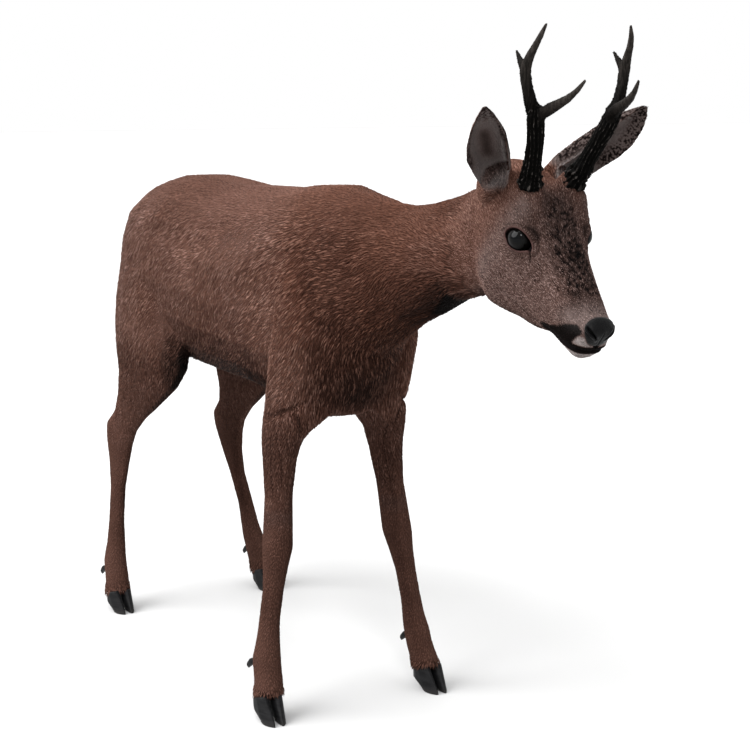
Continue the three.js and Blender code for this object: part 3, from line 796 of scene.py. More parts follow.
def trunk_marks(points, normals, blotch, head, leg):
    """How grey and how dark the trunk, the neck and the legs are, and how grey the head is. The
    darkness holds painted shade: on hide facing down, under the belly, throat and chest, down the
    legs and on their inner and forward faces, behind the jaw, and on all but the tops, whose back
    and rump are painted darker to offset the light from above.
    """
    _, along, up = on_face(points).T
    y, z = points[:, 1] * 1000, points[:, 2] * 1000
    wide = np.abs(points[:, 0]) * 1000
    # which way the hide faces: below it sets painted shade, darker facing down, and the tops of the
    # back and rump are painted darker to offset the light from above
    lower = ease(-normals[:, 2], -0.35, 0.75)
    top = ease(normals[:, 2], 0.70, 0.97)
    outer = ease(wide, 60, 95)
    chest = ease(-y, 45 + 60 * outer, 100 + 95 * outer) * (1 - ease(z, 470, 560)) * (1 - head)
    # painted shade under the throat, where the hide faces down
    throat_shade = ease(-y, 200, 260) * ease(-normals[:, 2], 0.0, 0.65) * (1 - head)
    neck = ease(-y, 70, 200) * (1 - head)
    hip = np.exp(-((y - 330) / 50) ** 2 - ((z - 625) / 32) ** 2)
    withers = np.exp(-((y + 75) / 52) ** 2) * ease(z, 470, 540)
    grey = (0.34 - 0.22 * neck - 0.20 * withers + 0.06 * ease(z, 560, 660)
            + 0.20 * ease(y, 380, 560) * (1 - leg) + 0.10 * leg)
    grey = grey + (0.86 - grey) * head
    knee = np.exp(-((z - 262) / 26) ** 2) * (normals[:, 1] < 0) * (y < 60)
    grey = np.maximum(grey, 0.6 * knee * leg)
    dark = (0.02 + 0.30 * lower + 0.15 * blotch + 0.16 * top + 0.36 * neck + 0.34 * hip
            + 0.20 * withers + 0.22 * top * ease(y, 120, 320)
            - 0.13 * ease(y, 470, 560) * (1 - leg) * (1 - top))
    # painted shade under the belly; the chest partly its own darker coat, partly painted shade
    belly = (1 - ease(z, 425, 530)) * ease(y, -30, 60) * (1 - ease(y, 330, 400))
    dark = np.maximum.reduce([dark, 0.84 * belly, 0.92 * throat_shade,
                              (0.74 + 0.18 * (1 - ease(z, 415, 455))) * chest])
    # the legs partly their own darker coat, partly painted shade, most of it on their inner faces
    inner_leg_shade = ease(-normals[:, 0] * np.sign(points[:, 0]), 0.1, 0.8) * (1 - ease(z, 280, 380))
    dark = np.maximum(dark, leg * (0.46 + 0.14 * ease(z, 270, 330) * (y < 60) + 0.18 * inner_leg_shade
                                   + 0.08 * blotch))
    dark *= 1 - 0.16 * leg * (1 - ease(z, 80, 150))
    # painted shade on the front of each thigh, and on the faces of the legs turned forward from the
    # light
    thigh_front_shade = ease(y, 180, 240) * ease(z, 270, 340) * (1 - ease(z, 470, 545))
    dark = np.maximum.reduce([dark, 0.92 * ease(-normals[:, 1], 0.0, 0.6) * thigh_front_shade,
                              0.56 * thigh_front_shade * (1 - ease(z, 400, 450))])
    dark = dark + 0.05 * leg * ease(-normals[:, 1], 0.15, 0.85)
    shoulder = np.exp(-((y + 140) / 90) ** 2) * ease(z, 430, 520) * (1 - ease(z, 620, 690))
    dark = np.maximum(dark, 0.66 * shoulder)
    # painted shade on all the trunk and neck but their tops
    dark = dark + 0.10 * (1 - head) * (1 - leg) * (1 - top)
    # painted shadow of the head on the neck just behind the jaw
    jaw_shadow = np.exp(-((along + 34) / 20) ** 2) * (1 - ease(up, -20, 8)) * ease(-y, 300, 360)
    return grey, np.maximum(dark, 0.70 * jaw_shadow)


def face_marks(face, blotch, lid_gap, crease_shade, blaze, speck):
    """How dark the face is: its blaze and crown, round the eyes, along the jaw and the lips. The
    dark before each eye, along the jaw's groove and in the creases is painted shade, and the ring
    round the lids is partly its own dark colour, partly painted shade.
    """
    aside, along, up = np.abs(face[:, 0]), face[:, 1], face[:, 2]
    mouth = mouth_height(face)
    dark = (0.24 + 0.14 * (1 - ease(along, 118, 160)) + 0.10 * blotch
            + (0.50 + 0.18 * ease(along, 90, 128)) * blaze * (0.85 + 0.9 * speck))
    crown = np.exp(-((along - 16) / 20) ** 2) * (1 - ease(aside, 18, 32)) * (up > -30)
    # painted shade in the hollow before each eye
    shade_before_eye = np.exp(-((along - 104) / 9) ** 2 - ((aside - 35) / 6) ** 2
                        - ((up + 2) / 9) ** 2)
    under_jaw = ease(-up - 0.42 * (150 - along), 62, 84) * (along < 175)
    # the ring round the lids: partly its own dark colour, partly painted shade
    dark = np.maximum.reduce([dark, 0.62 * crown, 0.62 * shade_before_eye, 0.45 * under_jaw,
                              0.35 * (1 - ease(lid_gap, 1.2, 3.0))])
    # painted shade in the creases round the eye
    dark = dark + (1 - dark) * crease_shade
    # painted shade along the groove of the jaw, below the cheek
    jaw_gap, _ = span_to(JAW_LINE, face[:, 1:])
    lip_top = np.interp(along, (164, 176, 184, 192, 200, 208, 214), (4, 6.5, 13, 22, 27, 24, 12))
    lip = (ease(mouth, -7, -4.5) * (1 - ease(mouth, lip_top - 1.2, lip_top + 1.6))
           * ease(along, 162, 170))
    in_patch = (ease(mouth, 5.5, 7.5) * (1 - ease(mouth, 15, 19)) * ease(along, 208.5, 211.5)
                * (aside > 3.5))
    return np.maximum.reduce([dark, 0.55 * np.exp(-(jaw_gap / 3.2) ** 2) * (aside > 14),
                              0.985 * lip * (1 - in_patch)])


def ear_marks(points, front, blotch):
    """How dark the ears are, and where their black rims and the painted shade in the hollow of each
    cup lie.
    """
    up = on_face(points)[:, 2]
    within, without = ear_edges(points)
    fleck = cloudy(points, 480)
    rim = ease(fleck + 0.25 * blotch, -0.12, 0.10)
    border = np.maximum((1 - ease(without, 8, 18)) * ease(up, 4, 24),
                        (1 - ease(within, 7.5, 10.0)) * ease(up, 8, 20))
    border = np.maximum(border * (0.45 + 0.55 * rim),
                        0.95 * rim * ease(up, 58, 82) * ease(fleck, -0.08, 0.12))
    # painted shade in the hollow of each cup
    cup_shade = front * np.exp(-((within - 27) / 12) ** 2) * ease(up, 2, 20) * (1 - ease(up, 44, 74))
    inside = np.maximum.reduce([np.full(len(points), 0.45), 0.985 * border, 0.78 * cup_shade])
    back = (0.16 + 0.12 * rim * ease(up, 30, 98) + 0.5 * ease(up, 86, 97)
            + 0.6 * (1 - ease(within, 3, 6)) * ease(up, 8, 20))
    return back + (inside - back) * front, border, cup_shade


def markings(points, normals, lid_gap, crease_shade):
    """How grey, how dark and how pale the coat is at each place, from 0 to 1."""
    face = on_face(points)
    aside, along, up = np.abs(face[:, 0]), face[:, 1], face[:, 2]
    y, z = points[:, 1] * 1000, points[:, 2] * 1000
    mouth = mouth_height(face)
    blotch, speck = cloudy(points, 38), cloudy(points, 300)
    head = ease(along, -62, 6) * ease(-y, 345, 420)
    leg = 1 - ease(z, 350, 470)
    ear = ear_share(points) * head
    grey, dark = trunk_marks(points, normals, blotch, head, leg)

    width = 16 + 2.5 * speck + 3 * ease(along, 40, 75)
    blaze = ((1 - ease(aside, width - 8, width + 10)) * ease(along, 26, 70)
             * (1 - ease(along, 158, 200)))
    dark = dark + (face_marks(face, blotch, lid_gap, crease_shade, blaze, speck) - dark) * head
    # painted shadow of the head on the throat behind the jaw
    shadow_behind_jaw = np.exp(-((y + 383) / 26) ** 2) * (1 - ease(z, 630, 690))
    dark = np.maximum(dark, 0.62 * shadow_behind_jaw)

    front = ear_front(points, normals)
    ear_dark, border, cup_shade = ear_marks(points, front, blotch)
    dark = dark + (ear_dark - dark) * ear
    grey = grey + (0.50 + 0.46 * front - grey) * ear
    poll_tan = (np.exp(-((along - 12) / 24) ** 2) * (1 - ease(aside, 30, 44)) * (up > -30)
                * head * (1 - ear))
    grey = grey * (1 - 0.20 * poll_tan)
    dark = np.maximum(dark, 0.46 * poll_tan)
    grey = grey - 0.42 * head * (1 - ear) * (1 - ease(along, 35, 92)) * (1 - blaze)
    ear_foot = (ease(-normals[:, 1], -0.2, 0.15) * head * ease(aside, 30, 36)
                * (1 - ease(along, 24, 32)) * ease(up, -10, 0) * (1 - ease(up, 24, 30)))
    grey = np.maximum(grey, 0.95 * ear_foot)

    over_eye = head * np.exp(-((along - 66) / 12) ** 2) * np.exp(-((aside - 42) / 8) ** 2)
    muzzle_light = ease(along, 168, 190) * ease(mouth, 12, 30) * (1 - blaze)
    lip_patch = (ease(mouth, 6, 8.0) * (1 - ease(mouth, 15, 19)) * head
                 * (1 - ease(pad_edge(face), -1.6, 0.2)) * ease(along, 208, 211.5)
                 * ease(aside, 2.5, 5))
    chin = (1 - ease(mouth, -5.0, -3.0)) * ease(along, 192, 204) * head
    dark = np.maximum(dark * (1 - np.maximum(lip_patch, chin)), 0.44 * ear_foot)
    in_cup = front * head * ease(aside, 27, 33) * (1 - ease(along, 22, 30))
    within, _ = ear_edges(points)
    inner_edge = (in_cup * np.exp(-((within - 8.2) / 2.4) ** 2) * ease(up, -8, 6)
                  * (1 - ease(up, 38, 56)))
    dark = dark * (1 - 0.8 * inner_edge)
    rump = (ease(normals[:, 1], 0.80, 0.95) * ease(y, 560, 590) * ease(z, 470, 520)
            * (1 - ease(np.abs(points[:, 0]) * 1000, 34, 58)))
    pale = np.maximum.reduce([
        0.16 * over_eye, 0.16 * muzzle_light, 0.56 * lip_patch, 0.74 * chin,
        0.56 * front * ear * (1 - 0.8 * cup_shade) * (1 - border), 0.80 * inner_edge,
        0.40 * in_cup * ease(up, -14, -2) * (1 - ear), 0.62 * rump])
    return np.clip(np.stack([grey, dark, pale], axis=1), 0, 1)


points = points_of(skin)
normals = normals_of(skin)
edges = edges_of(skin)
face = on_face(points)
y, z = points[:, 1] * 1000, points[:, 2] * 1000
head = ease(face[:, 1], -62, 6) * ease(-y, 345, 420)
coat_marks = markings(points, normals, lid_gap, crease_shade)
# painted shade: the creases of the body are painted darker on the hide, not on the hair over it
marks = coat_marks.copy()      # the creases of the body darken the hide and not the hair on it
marks[:, 1] += 0.7 * (1 - marks[:, 1]) * crease_shade * (1 - head)
pad = ease(pad_edge(face), -0.8, 0.8) * (face[:, 1] > 195) * (face[:, 2] > -21.5)
mouth = mouth_height(face)
lip_skin = (1 - ease(np.abs(mouth - 0.4), 1.8, 4.2)) * ease(face[:, 1], 160, 168)
lid_skin = (1 - ease(lid_gap, 1.1, 2.3)) * (1 - 0.9 * crease_shade)
# the margin of each lid, painted near black: partly its own dark skin, partly painted shade where
# the lid meets the ball
keep(skin, "lid_edge", 1 - ease(lid_gap, -0.40, 0.25))
keep(skin, "marks", marks)
keep(skin, "bare", np.stack([pad, np.maximum(lip_skin, 0) * (1 - pad), lid_skin], axis=1))

# The lie of the hair: back from the nose, down the sides and legs, and out along the ears.
leg = 1 - ease(z, 350, 480)
neck = ease(-y, 130, 240) * (1 - head)
rump = ease(y, 380, 560)
side_on = 1 - np.abs(normals[:, 2])
flank_drop = ease(y, -120, 60) * (1 - ease(z, 590, 670))
way = np.stack([np.zeros(len(points)), 1.0 - 0.60 * np.maximum(rump, flank_drop) * side_on,
                -0.15 - (0.75 + 0.35 * flank_drop) * side_on], axis=1)
way += neck[:, None] * (np.array((0, 1.0, -0.55)) - way)
chest = ease(-y, 60, 150) * (1 - ease(z, 470, 580)) * (1 - head)
way += chest[:, None] * (np.array((0, 0.35, -1.0)) - way)
way += leg[:, None] * (np.array((0, 0.12, -1.0)) - way)
sideways = 0.42 * ease(face[:, 1:2], 20, 110) * ease(face[:, 2:3], -30, 0)
back_over_face = -along_face + np.sign(face[:, 0:1]) * across_face * sideways
way += head[:, None] * (back_over_face - way)
on_ear = ear_share(points) * head
up_ear = EAR_WAY * (np.sign(points[:, :1]) * (1, 0, 0) + (0, 1, 1))
way += on_ear[:, None] * (up_ear - way)
for side in (1, -1):
    eye, slit, lift, out = eye_plane(points, side)
    near = 1 - ease(np.hypot(eye[:, 0], eye[:, 1]), 16, 30)
    near *= eye[:, 2] > -12
    spread = eye[:, 0:1] * slit + eye[:, 1:2] * lift
    spread /= np.maximum(np.linalg.norm(spread, axis=1), 1e-6)[:, None]
    way += near[:, None] * 1.6 * spread


def laid_flat(ways, normals):
    """The ways of the hair, turned to lie along the hide."""
    ways = ways - (ways * normals).sum(axis=1)[:, None] * normals
    return ways / np.maximum(np.linalg.norm(ways, axis=1), 1e-6)[:, None]


way = laid_flat(way, normals)
for _ in range(6):
    way = laid_flat(eased(way, edges, 3, 0.5), normals)
swirl = ((0.70 * cloudy(points, 13) + 0.55 * cloudy(points, 48))
         * (1 - 0.80 * head) * (1 - 0.5 * leg))
way = way * np.cos(swirl)[:, None] + np.cross(normals, way) * np.sin(swirl)[:, None]

# Locks: chance values drawn out along the hair, so that neighbouring hairs share a tone.
chance = np.random.default_rng(7)
lock = chance.random((len(points), 1))
reach = points[edges[:, 1]] - points[edges[:, 0]]
reach /= np.maximum(np.linalg.norm(reach, axis=1), 1e-9)[:, None]
pull = [np.abs((reach * way[edges[:, k]]).sum(axis=1)) ** 8 + 0.002 for k in (0, 1)]
for _ in range(4):
    total = (np.bincount(edges[:, 0], pull[0] * lock[edges[:, 1], 0], len(points))
             + np.bincount(edges[:, 1], pull[1] * lock[edges[:, 0], 0], len(points)))
    weight = (np.bincount(edges[:, 0], pull[0], len(points))
              + np.bincount(edges[:, 1], pull[1], len(points)))
    lock[:, 0] = (0.35 * lock[:, 0] + total) / (0.35 + weight)
lock = np.argsort(np.argsort(lock[:, 0])) / len(points)
cup = on_ear * ear_front(points, normals)
on_top = ease(normals[:, 2], 0.30, 0.80) * (1 - head)
calm = np.maximum.reduce([leg * (0.80 - 0.35 * ease(z, 220, 300)), 0.85 * cup, 0.70 * on_top,
                          0.45 * neck, 0.35 * rump, np.full(len(points), 0.15)])
calm *= 1 - 0.1 * chest
shaggy = np.exp(-((y + 60) / 120) ** 2) * ease(z, 470, 560) * (1 - on_top) * (1 - head)
shaggy = np.maximum(shaggy, 0.3 * chest)
lock = 0.5 + (lock - 0.5) * (1 - calm) * (1 - 0.3 * head)
# the third tone is how far along a hair a place is: the hide, at the roots, takes the deepest
# painted shade, less in the cups of the ears
keep(skin, "tone", np.stack([lock, np.full(len(points), 0.4), 0.15 + 0.5 * cup], axis=1))


def coat_colour(shader):
    """The colour of the hair, from the markings and tones kept on hide and tufts alike, with
    painted shade darkening each hair towards its root and the hide beneath it.

    Returns it with the place and the grain that it was made from.
    """
    grey, dark, pale = shader.node("ShaderNodeSeparateXYZ", {}, [shader.attribute("marks")[1]])
    lock, hair, along = shader.node("ShaderNodeSeparateXYZ", {}, [shader.attribute("tone")[1]])
    place = shader.place()
    drift = shader.clouds(place, 9.0, 3.0)
    grain = shader.clouds(place, 420.0, 3.0, 0.7)
    tone = 0.54 * lock + 0.26 * hair + 0.24 * grain - 0.02
    brown = shader.mixed(tone.ramp(0.14, 0.42), (0.034, 0.0138, 0.0090), (0.190, 0.086, 0.0585))
    brown = shader.mixed(tone.ramp(0.52, 0.92), brown, (0.385, 0.210, 0.152))
    red = shader.mixed(tone.ramp(0.2, 0.9), (0.050, 0.018, 0.0100), (0.330, 0.140, 0.078))
    brown = shader.mixed(drift.ramp(0.36, 0.70) * 0.35, brown, red)
    grizzle = 0.66 * lock + 0.20 * hair + 0.26 * grain - 0.05
    grizzled = shader.mixed(grizzle.ramp(0.27, 0.43), (0.009, 0.0056, 0.0050),
                            (0.120, 0.075, 0.0650))
    grizzled = shader.mixed(grizzle.ramp(0.50, 0.86), grizzled, (0.350, 0.252, 0.232))
    # the darker places, painted shade among them, turn redder
    deeper = shader.node("ShaderNodeVectorMath", {"operation": "MULTIPLY"},
                         [brown, (1.0, 0.80, 0.68)])[0]
    brown = shader.mixed(dark * 1.3, brown, deeper)
    colour = shader.mixed(grey, brown, grizzled)
    spared = 0.24 * grizzle.ramp(0.46, 0.82) * (1 - dark.ramp(0.86, 0.97))
    # painted shade: darker towards each tuft's root and on the hide beneath, by how far along the
    # hair a place is
    colour = shader.shaded(colour, (1 - 0.99 * dark * (1 - spared)) * (0.30 + 0.84 * along))
    light = shader.mixed(grizzle.ramp(0.1, 0.8), (0.110, 0.098, 0.096), (0.330, 0.300, 0.292))
    light = shader.shaded(light, 1 - 0.75 * dark)
    return shader.mixed(pale, colour, light), place, grain


hide = Shader("hide", Specular_IOR_Level=0.03, Coat_Roughness=0.30, Coat_IOR=1.2)
hair_colour, hide_place, hide_grain = coat_colour(hide)
pad_share, lip_share, lid_share = hide.node("ShaderNodeSeparateXYZ", {},
                                            [hide.attribute("bare")[1]])
pores = hide.pebbles(hide_place, 620.0)
leather = hide.mixed(pores.ramp(0.0, 0.22), (0.0010, 0.0010, 0.0011), (0.0030, 0.0029, 0.0031))
colour = hide.mixed(lid_share, hair_colour,
                    hide.mixed(hide_grain, (0.014, 0.0068, 0.0062), (0.090, 0.048, 0.043)))
# near black at the lid margin: partly its own dark skin, partly painted shade
colour = hide.mixed(hide.attribute("lid_edge")[2], colour, (0.0022, 0.0014, 0.0014))
colour = hide.mixed(lip_share, colour,
                    hide.mixed(hide_grain, (0.0012, 0.0006, 0.0007), (0.0036, 0.0021, 0.0022)))
colour = hide.mixed(pad_share, colour, leather)
hide.finish(colour, 0.85 - 0.42 * pad_share - 0.25 * lip_share - 0.20 * lid_share,
            0.55 * pad_share * pores.ramp(0.0, 0.3) + 0.6 * (1 - pad_share) * hide_grain,
            0.0009, 0.6)
hide.feed(hide.surface.inputs["Coat Weight"], 0.55 * pad_share)
skin.data.materials.clear()
skin.data.materials.append(hide.material)


# ---- Eyes -----------------------------------------------------------------------------------
# Each eye is a solid glass ball set in the skull behind the parted hide: a near-black iris with
# a wide level pupil, under a clear cornea that stands a little proud of the ball.

GLASS_RADIUS = EYE_RADIUS * 0.995
CORNEA_STANDS_OUT = 0.0006
PUPIL_LONG, PUPIL_HIGH = 0.50, 0.30      # half its length and height, as shares of the radius
glass = Shader("glass_eye", Coat_Weight=1.0, Coat_Roughness=0.02, Coat_IOR=1.20,
               Specular_IOR_Level=0.0)
off_axis = glass.attribute("off_axis")[2]
off_pupil = glass.attribute("off_pupil")[2]
fibres = glass.clouds(glass.stretched(glass.place(), (900, 900, 900)), 1.0, 4.0)
iris = glass.mixed(fibres.ramp(0.35, 0.7), (0.0009, 0.0008, 0.0008), (0.0022, 0.0018, 0.0016))
iris = glass.mixed(off_pupil.ramp(0.86, 1.06), (0.0007, 0.0008, 0.0011), iris)
iris = glass.mixed(off_axis.ramp(0.70, 0.80), iris, (0.0014, 0.0011, 0.0011))
glass.finish(iris, 0.06 + 0.10 * off_axis.ramp(0.7, 0.9), fibres, 0.00003, 0.15)
glass.feed(glass.surface.inputs["Coat Weight"], 1 - 0.9 * off_axis.ramp(0.50, 0.88))

for side, sign in (("left", 1), ("right", -1)):
    _, slit, lift, out = eye_plane(np.zeros((1, 3)), sign)
    centre = eye_left * (sign, 1, 1)
    bpy.ops.object.select_all(action="DESELECT")
    bpy.ops.mesh.primitive_uv_sphere_add(segments=64, ring_count=40, radius=GLASS_RADIUS)
    eye = bpy.context.object
    eye.name = "glass_eye_" + side
    ball = points_of(eye)
    if np.linalg.det(np.stack([slit, lift, out])) < 0:
        slit = -slit
    ball = ball @ np.stack([slit, lift, out])
    reach = ball / GLASS_RADIUS
    facing = reach @ out
    bulge = CORNEA_STANDS_OUT * ease(facing, 0.62, 0.95)
    ball = ball + reach * bulge[:, None]
    move_points(eye, ball + centre)
    keep(eye, "off_axis", np.sqrt(np.maximum(1 - facing ** 2, 0)))
    keep(eye, "off_pupil", np.hypot((reach @ slit) / PUPIL_LONG, (reach @ lift) / PUPIL_HIGH))
    eye.data.materials.append(glass.material)
    only(eye)
    bpy.ops.object.shade_smooth()
    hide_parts("eye_" + side)
    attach(eye, "root")


# ---- Antlers --------------------------------------------------------------------------------
# Hard bone, grown in one piece: a burr of pearls at the foot, a lower beam with long grooves
# and pearled ridges between them, and smoother, paler points where it forks.

ANTLER_GRAIN = 0.0013
RIBS = 15             # round the beam


def middle_line(cloud, count):
    """The middle of a long solid at so many places between its ends."""
    centre = cloud.mean(axis=0)
    _, _, axes = np.linalg.svd(cloud - centre, full_matrices=False)
    along = (cloud - centre) @ axes[0]
    edges = np.linspace(along.min(), along.max(), count + 1)
    rows = [cloud[(along >= low) & (along <= high)] for low, high in zip(edges[:-1], edges[1:])]
    line = np.array([row.mean(axis=0) for row in rows if len(row) > 2])
    return line[np.argsort(line[:, 2])]


bone = Shader("antler_bone", Specular_IOR_Level=0.02)
bone_place = bone.place()
ridge = bone.attribute("ridge")[2]
point = bone.attribute("point")[2]
grain = bone.clouds(bone.stretched(bone_place, (420, 420, 60)), 1.0, 5.0, 0.6)
flecks = bone.clouds(bone.stretched(bone_place, (520, 520, 150)), 1.0, 2.0).ramp(0.34, 0.66)
dark_bone = bone.mixed(grain.ramp(0.3, 0.75), (0.0003, 0.0003, 0.0002), (0.0017, 0.0014, 0.0012))
ridge_bone = bone.mixed(flecks, (0.0090, 0.0076, 0.0066), (0.052, 0.046, 0.042))
bone_colour = bone.mixed(ridge.ramp(0.66, 0.84) * (1 - 0.8 * point), dark_bone, ridge_bone)
tip_bone = bone.mixed(grain.ramp(0.35, 0.7), (0.0110, 0.0095, 0.0084), (0.032, 0.027, 0.0240))
bone_colour = bone.mixed(point, bone_colour, tip_bone)
bone.finish(bone_colour, 0.62 - 0.18 * point - 0.10 * ridge, grain + 0.5 * flecks, 0.0005, 0.5)

for side in ("left", "right"):
    parts = [f"antler_{side}_{part}" for part in ("lower_beam", "upper_beam", "front_tine",
                                                  "rear_tine")]
    lines = []
    for part in parts:
        lines.append(middle_line(points_of(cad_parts[part]), 9 if "beam" in part else 7))
    foot = lines[0][0]
    antler = copy_of("antler_" + side, parts, 0.0003)
    apply_modifier(antler, "REMESH", mode="VOXEL", voxel_size=ANTLER_GRAIN)
    keep_largest(antler)
    shape = eased(points_of(antler), edges_of(antler), 9, 0.5)
    rise = (shape - antler_feet[side]) @ antler_up * 1000
    lifted = np.where(rise < 13, 12 + 0.08 * rise, rise)      # its foot sits on the pedicle
    shape += ((lifted - rise) / 1000)[:, None] * antler_up
    move_points(antler, shape)
    outward = normals_of(antler)
    gaps, shares, spokes = [], [], []
    for line in lines:
        gap, share = span_to(line, shape)
        step = share * (len(line) - 1)
        below = np.clip(step.astype(int), 0, len(line) - 2)
        core = line[below] + (step - below)[:, None] * (line[below + 1] - line[below])
        tangent = line[below + 1] - line[below]
        tangent /= np.linalg.norm(tangent, axis=1)[:, None]
        aside = np.cross(tangent, (0, 1, 0))
        aside /= np.linalg.norm(aside, axis=1)[:, None]
        forward = np.cross(aside, tangent)
        spoke = shape - core
        gaps.append(gap)
        shares.append(share)
        spokes.append(np.arctan2((spoke * forward).sum(axis=1), (spoke * aside).sum(axis=1)))
    owner = np.argmin(np.array(gaps), axis=0)
    index = np.arange(len(shape))
    turn, share = np.array(spokes)[owner, index], np.array(shares)[owner, index]
    above_foot = np.linalg.norm(shape - foot, axis=1) * 1000
    wander, fine = cloudy(shape, 30), cloudy(shape, 260)
    pearl = np.array([noise.noise(Vector(place) * 210 + Vector((9, 4, 2))) for place in shape])
    ribs = (0.5 + 0.5 * np.cos(turn * RIBS + 2.2 * wander + 0.6 * fine)) ** 3.0
    tine = np.select([owner == 0, owner == 1, owner == 2], [0.0, 0.35 + 0.65 * share,
                                                            0.45 + 0.55 * share], 0.55)
    tine = np.clip(tine, 0, 1)
    rough = 1 - ease(tine, 0.15, 0.9)
    burr = ease(above_foot, 10, 16) * (1 - ease(above_foot, 32, 46))
    lump = (1.45 * ribs - 0.75) * (0.12 + 0.88 * rough)
    lump += 0.7 * ease(pearl, 0.15, 0.5) * rough * ribs
    lump += burr * (1.5 + 2.2 * ease(pearl, -0.05, 0.35))
    at_tip = ease(share, 0.72, 1.0) * (owner > 0)
    lump += 0.12 * fine - 0.75 - 0.25 * (owner == 1) + 0.30 * tine + 0.9 * at_tip
    move_points(antler, shape + outward * (lump / 1000)[:, None])
    pearled = 0.5 * ease(pearl, 0.1, 0.5) * np.maximum(rough * ribs, burr)
    keep(antler, "ridge", np.clip(0.85 * ribs * rough + pearled, 0, 1))
    keep(antler, "point", ease(tine, 0.3, 0.95))
    antler.data.materials.append(bone.material)
    only(antler)
    bpy.ops.object.shade_smooth()
    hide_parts(*parts)
    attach(antler, "root")


# ---- Hooves and dewclaws --------------------------------------------------------------------
# Charcoal horn, a pair of cleft toes to each foot and two small dewclaws behind. The walls carry
# faint growth rings, worn smoother towards the edge that meets the ground.

HORN_GRAIN = 0.0012
horn = Shader("hoof_horn", Specular_IOR_Level=0.08)
horn_place = horn.place()
rings = horn.clouds(horn.stretched(horn_place, (25, 60, 420)), 1.0, 3.0, 0.5)
scuffs = horn.clouds(horn_place, 240.0, 4.0, 0.65)
horn_colour = horn.mixed(rings.ramp(0.3, 0.7), (0.0030, 0.0030, 0.0033), (0.0076, 0.0075, 0.0080))
horn_colour = horn.mixed(scuffs.ramp(0.62, 0.8) * 0.5, horn_colour, (0.030, 0.028, 0.027))
rise = horn.node("ShaderNodeSeparateXYZ", {}, [horn_place])[2]
horn_colour = horn.mixed((1 - rise.ramp(0.001, 0.009)) * 0.5, horn_colour, (0.024, 0.022, 0.021))
horn_colour = horn.shaded(horn_colour, 1 - 0.65 * rise.ramp(0.038, 0.046))
horn.finish(horn_colour, 0.36 + 0.25 * scuffs, rings + 0.4 * scuffs, 0.0006, 0.55)

for node in [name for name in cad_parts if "hoof" in name or "dewclaw" in name]:
    claw = copy_of("horn_" + node, [node], 0)
    apply_modifier(claw, "REMESH", mode="VOXEL", voxel_size=HORN_GRAIN)
    keep_largest(claw)
    shape = points_of(claw)
    eased_shape = eased(shape, edges_of(claw), 8, 0.5)
    eased_shape[:, 2] = np.maximum(eased_shape[:, 2], cad_low.z)
    if "hoof" in node:
        flat = 1 - ease(shape[:, 2], 0.0004, 0.003)
        sole = np.minimum(eased_shape[:, 2], cad_low.z + 0.0001)
        eased_shape[:, 2] = eased_shape[:, 2] * (1 - flat) + sole * flat
    move_points(claw, eased_shape)
    claw.data.materials.append(horn.material)
    only(claw)
    bpy.ops.object.shade_smooth()
    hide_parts(node)
    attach(claw, "root")


# ---- Coat -----------------------------------------------------------------------------------
# Short summer hair in fine pointed tufts, rooted in the hide and lying along it: longest on the
# trunk and neck, close and short on the legs and face, and hanging over the top of each hoof.

hair = Shader("hair", Specular_IOR_Level=0.04)
hair_tone, _, hair_grain = coat_colour(hair)
hair.finish(hair_tone, 0.78, hair_grain, 0.0004, 0.35)

skin.data.calc_loop_triangles()
triangles = skin.data.loop_triangles
corners, corner_loops = np.empty((2, len(triangles) * 3), np.int32)
triangles.foreach_get("vertices", corners)
triangles.foreach_get("loops", corner_loops)
corners, corner_loops = corners.reshape(-1, 3), corner_loops.reshape(-1, 3)
owners = np.empty(len(triangles), np.int32)
triangles.foreach_get("polygon_index", owners)
areas = np.linalg.norm(np.cross(points[corners[:, 1]] - points[corners[:, 0]],
                                points[corners[:, 2]] - points[corners[:, 0]]), axis=1) / 2
surface = BVHTree.FromPolygons([tuple(point) for point in points],
                               [tuple(int(k) for k in corner) for corner in corners])
lip_edge = np.abs(mouth) < 1.6
bald = (pad > 0.35) | (lid_gap < 1.6) | ((face[:, 1] > 168) & lip_edge) | (z < 27)

middle_face = (head[corners].mean(axis=1) > 0.5)
middle_ear = (on_ear[corners].mean(axis=1) > 0.5) & middle_face
middle_leg = (leg[corners].mean(axis=1) > 0.5) & ~middle_face


def unwrapped(wanted):
    """Where each corner of the wanted part of the hide lies when that part is laid flat."""
    layer = skin.data.uv_layers.new(name="laid_flat")
    skin.data.uv_layers.active = layer
    chosen = np.zeros(len(skin.data.polygons), bool)
    chosen[owners[wanted]] = True
    only(skin)
    bpy.ops.object.mode_set(mode="EDIT")
    bpy.ops.mesh.select_mode(type="FACE")
    bpy.ops.mesh.select_all(action="DESELECT")
    bpy.ops.object.mode_set(mode="OBJECT")
    skin.data.polygons.foreach_set("select", chosen)
    bpy.ops.object.mode_set(mode="EDIT")
    bpy.ops.uv.smart_project(angle_limit=math.radians(66), island_margin=0.001)
    bpy.ops.object.mode_set(mode="OBJECT")
    flat = np.empty(len(skin.data.loops) * 2, np.float32)
    skin.data.uv_layers["laid_flat"].data.foreach_get("uv", flat)
    skin.data.uv_layers.remove(skin.data.uv_layers["laid_flat"])
    return flat.reshape(-1, 2)[corner_loops]


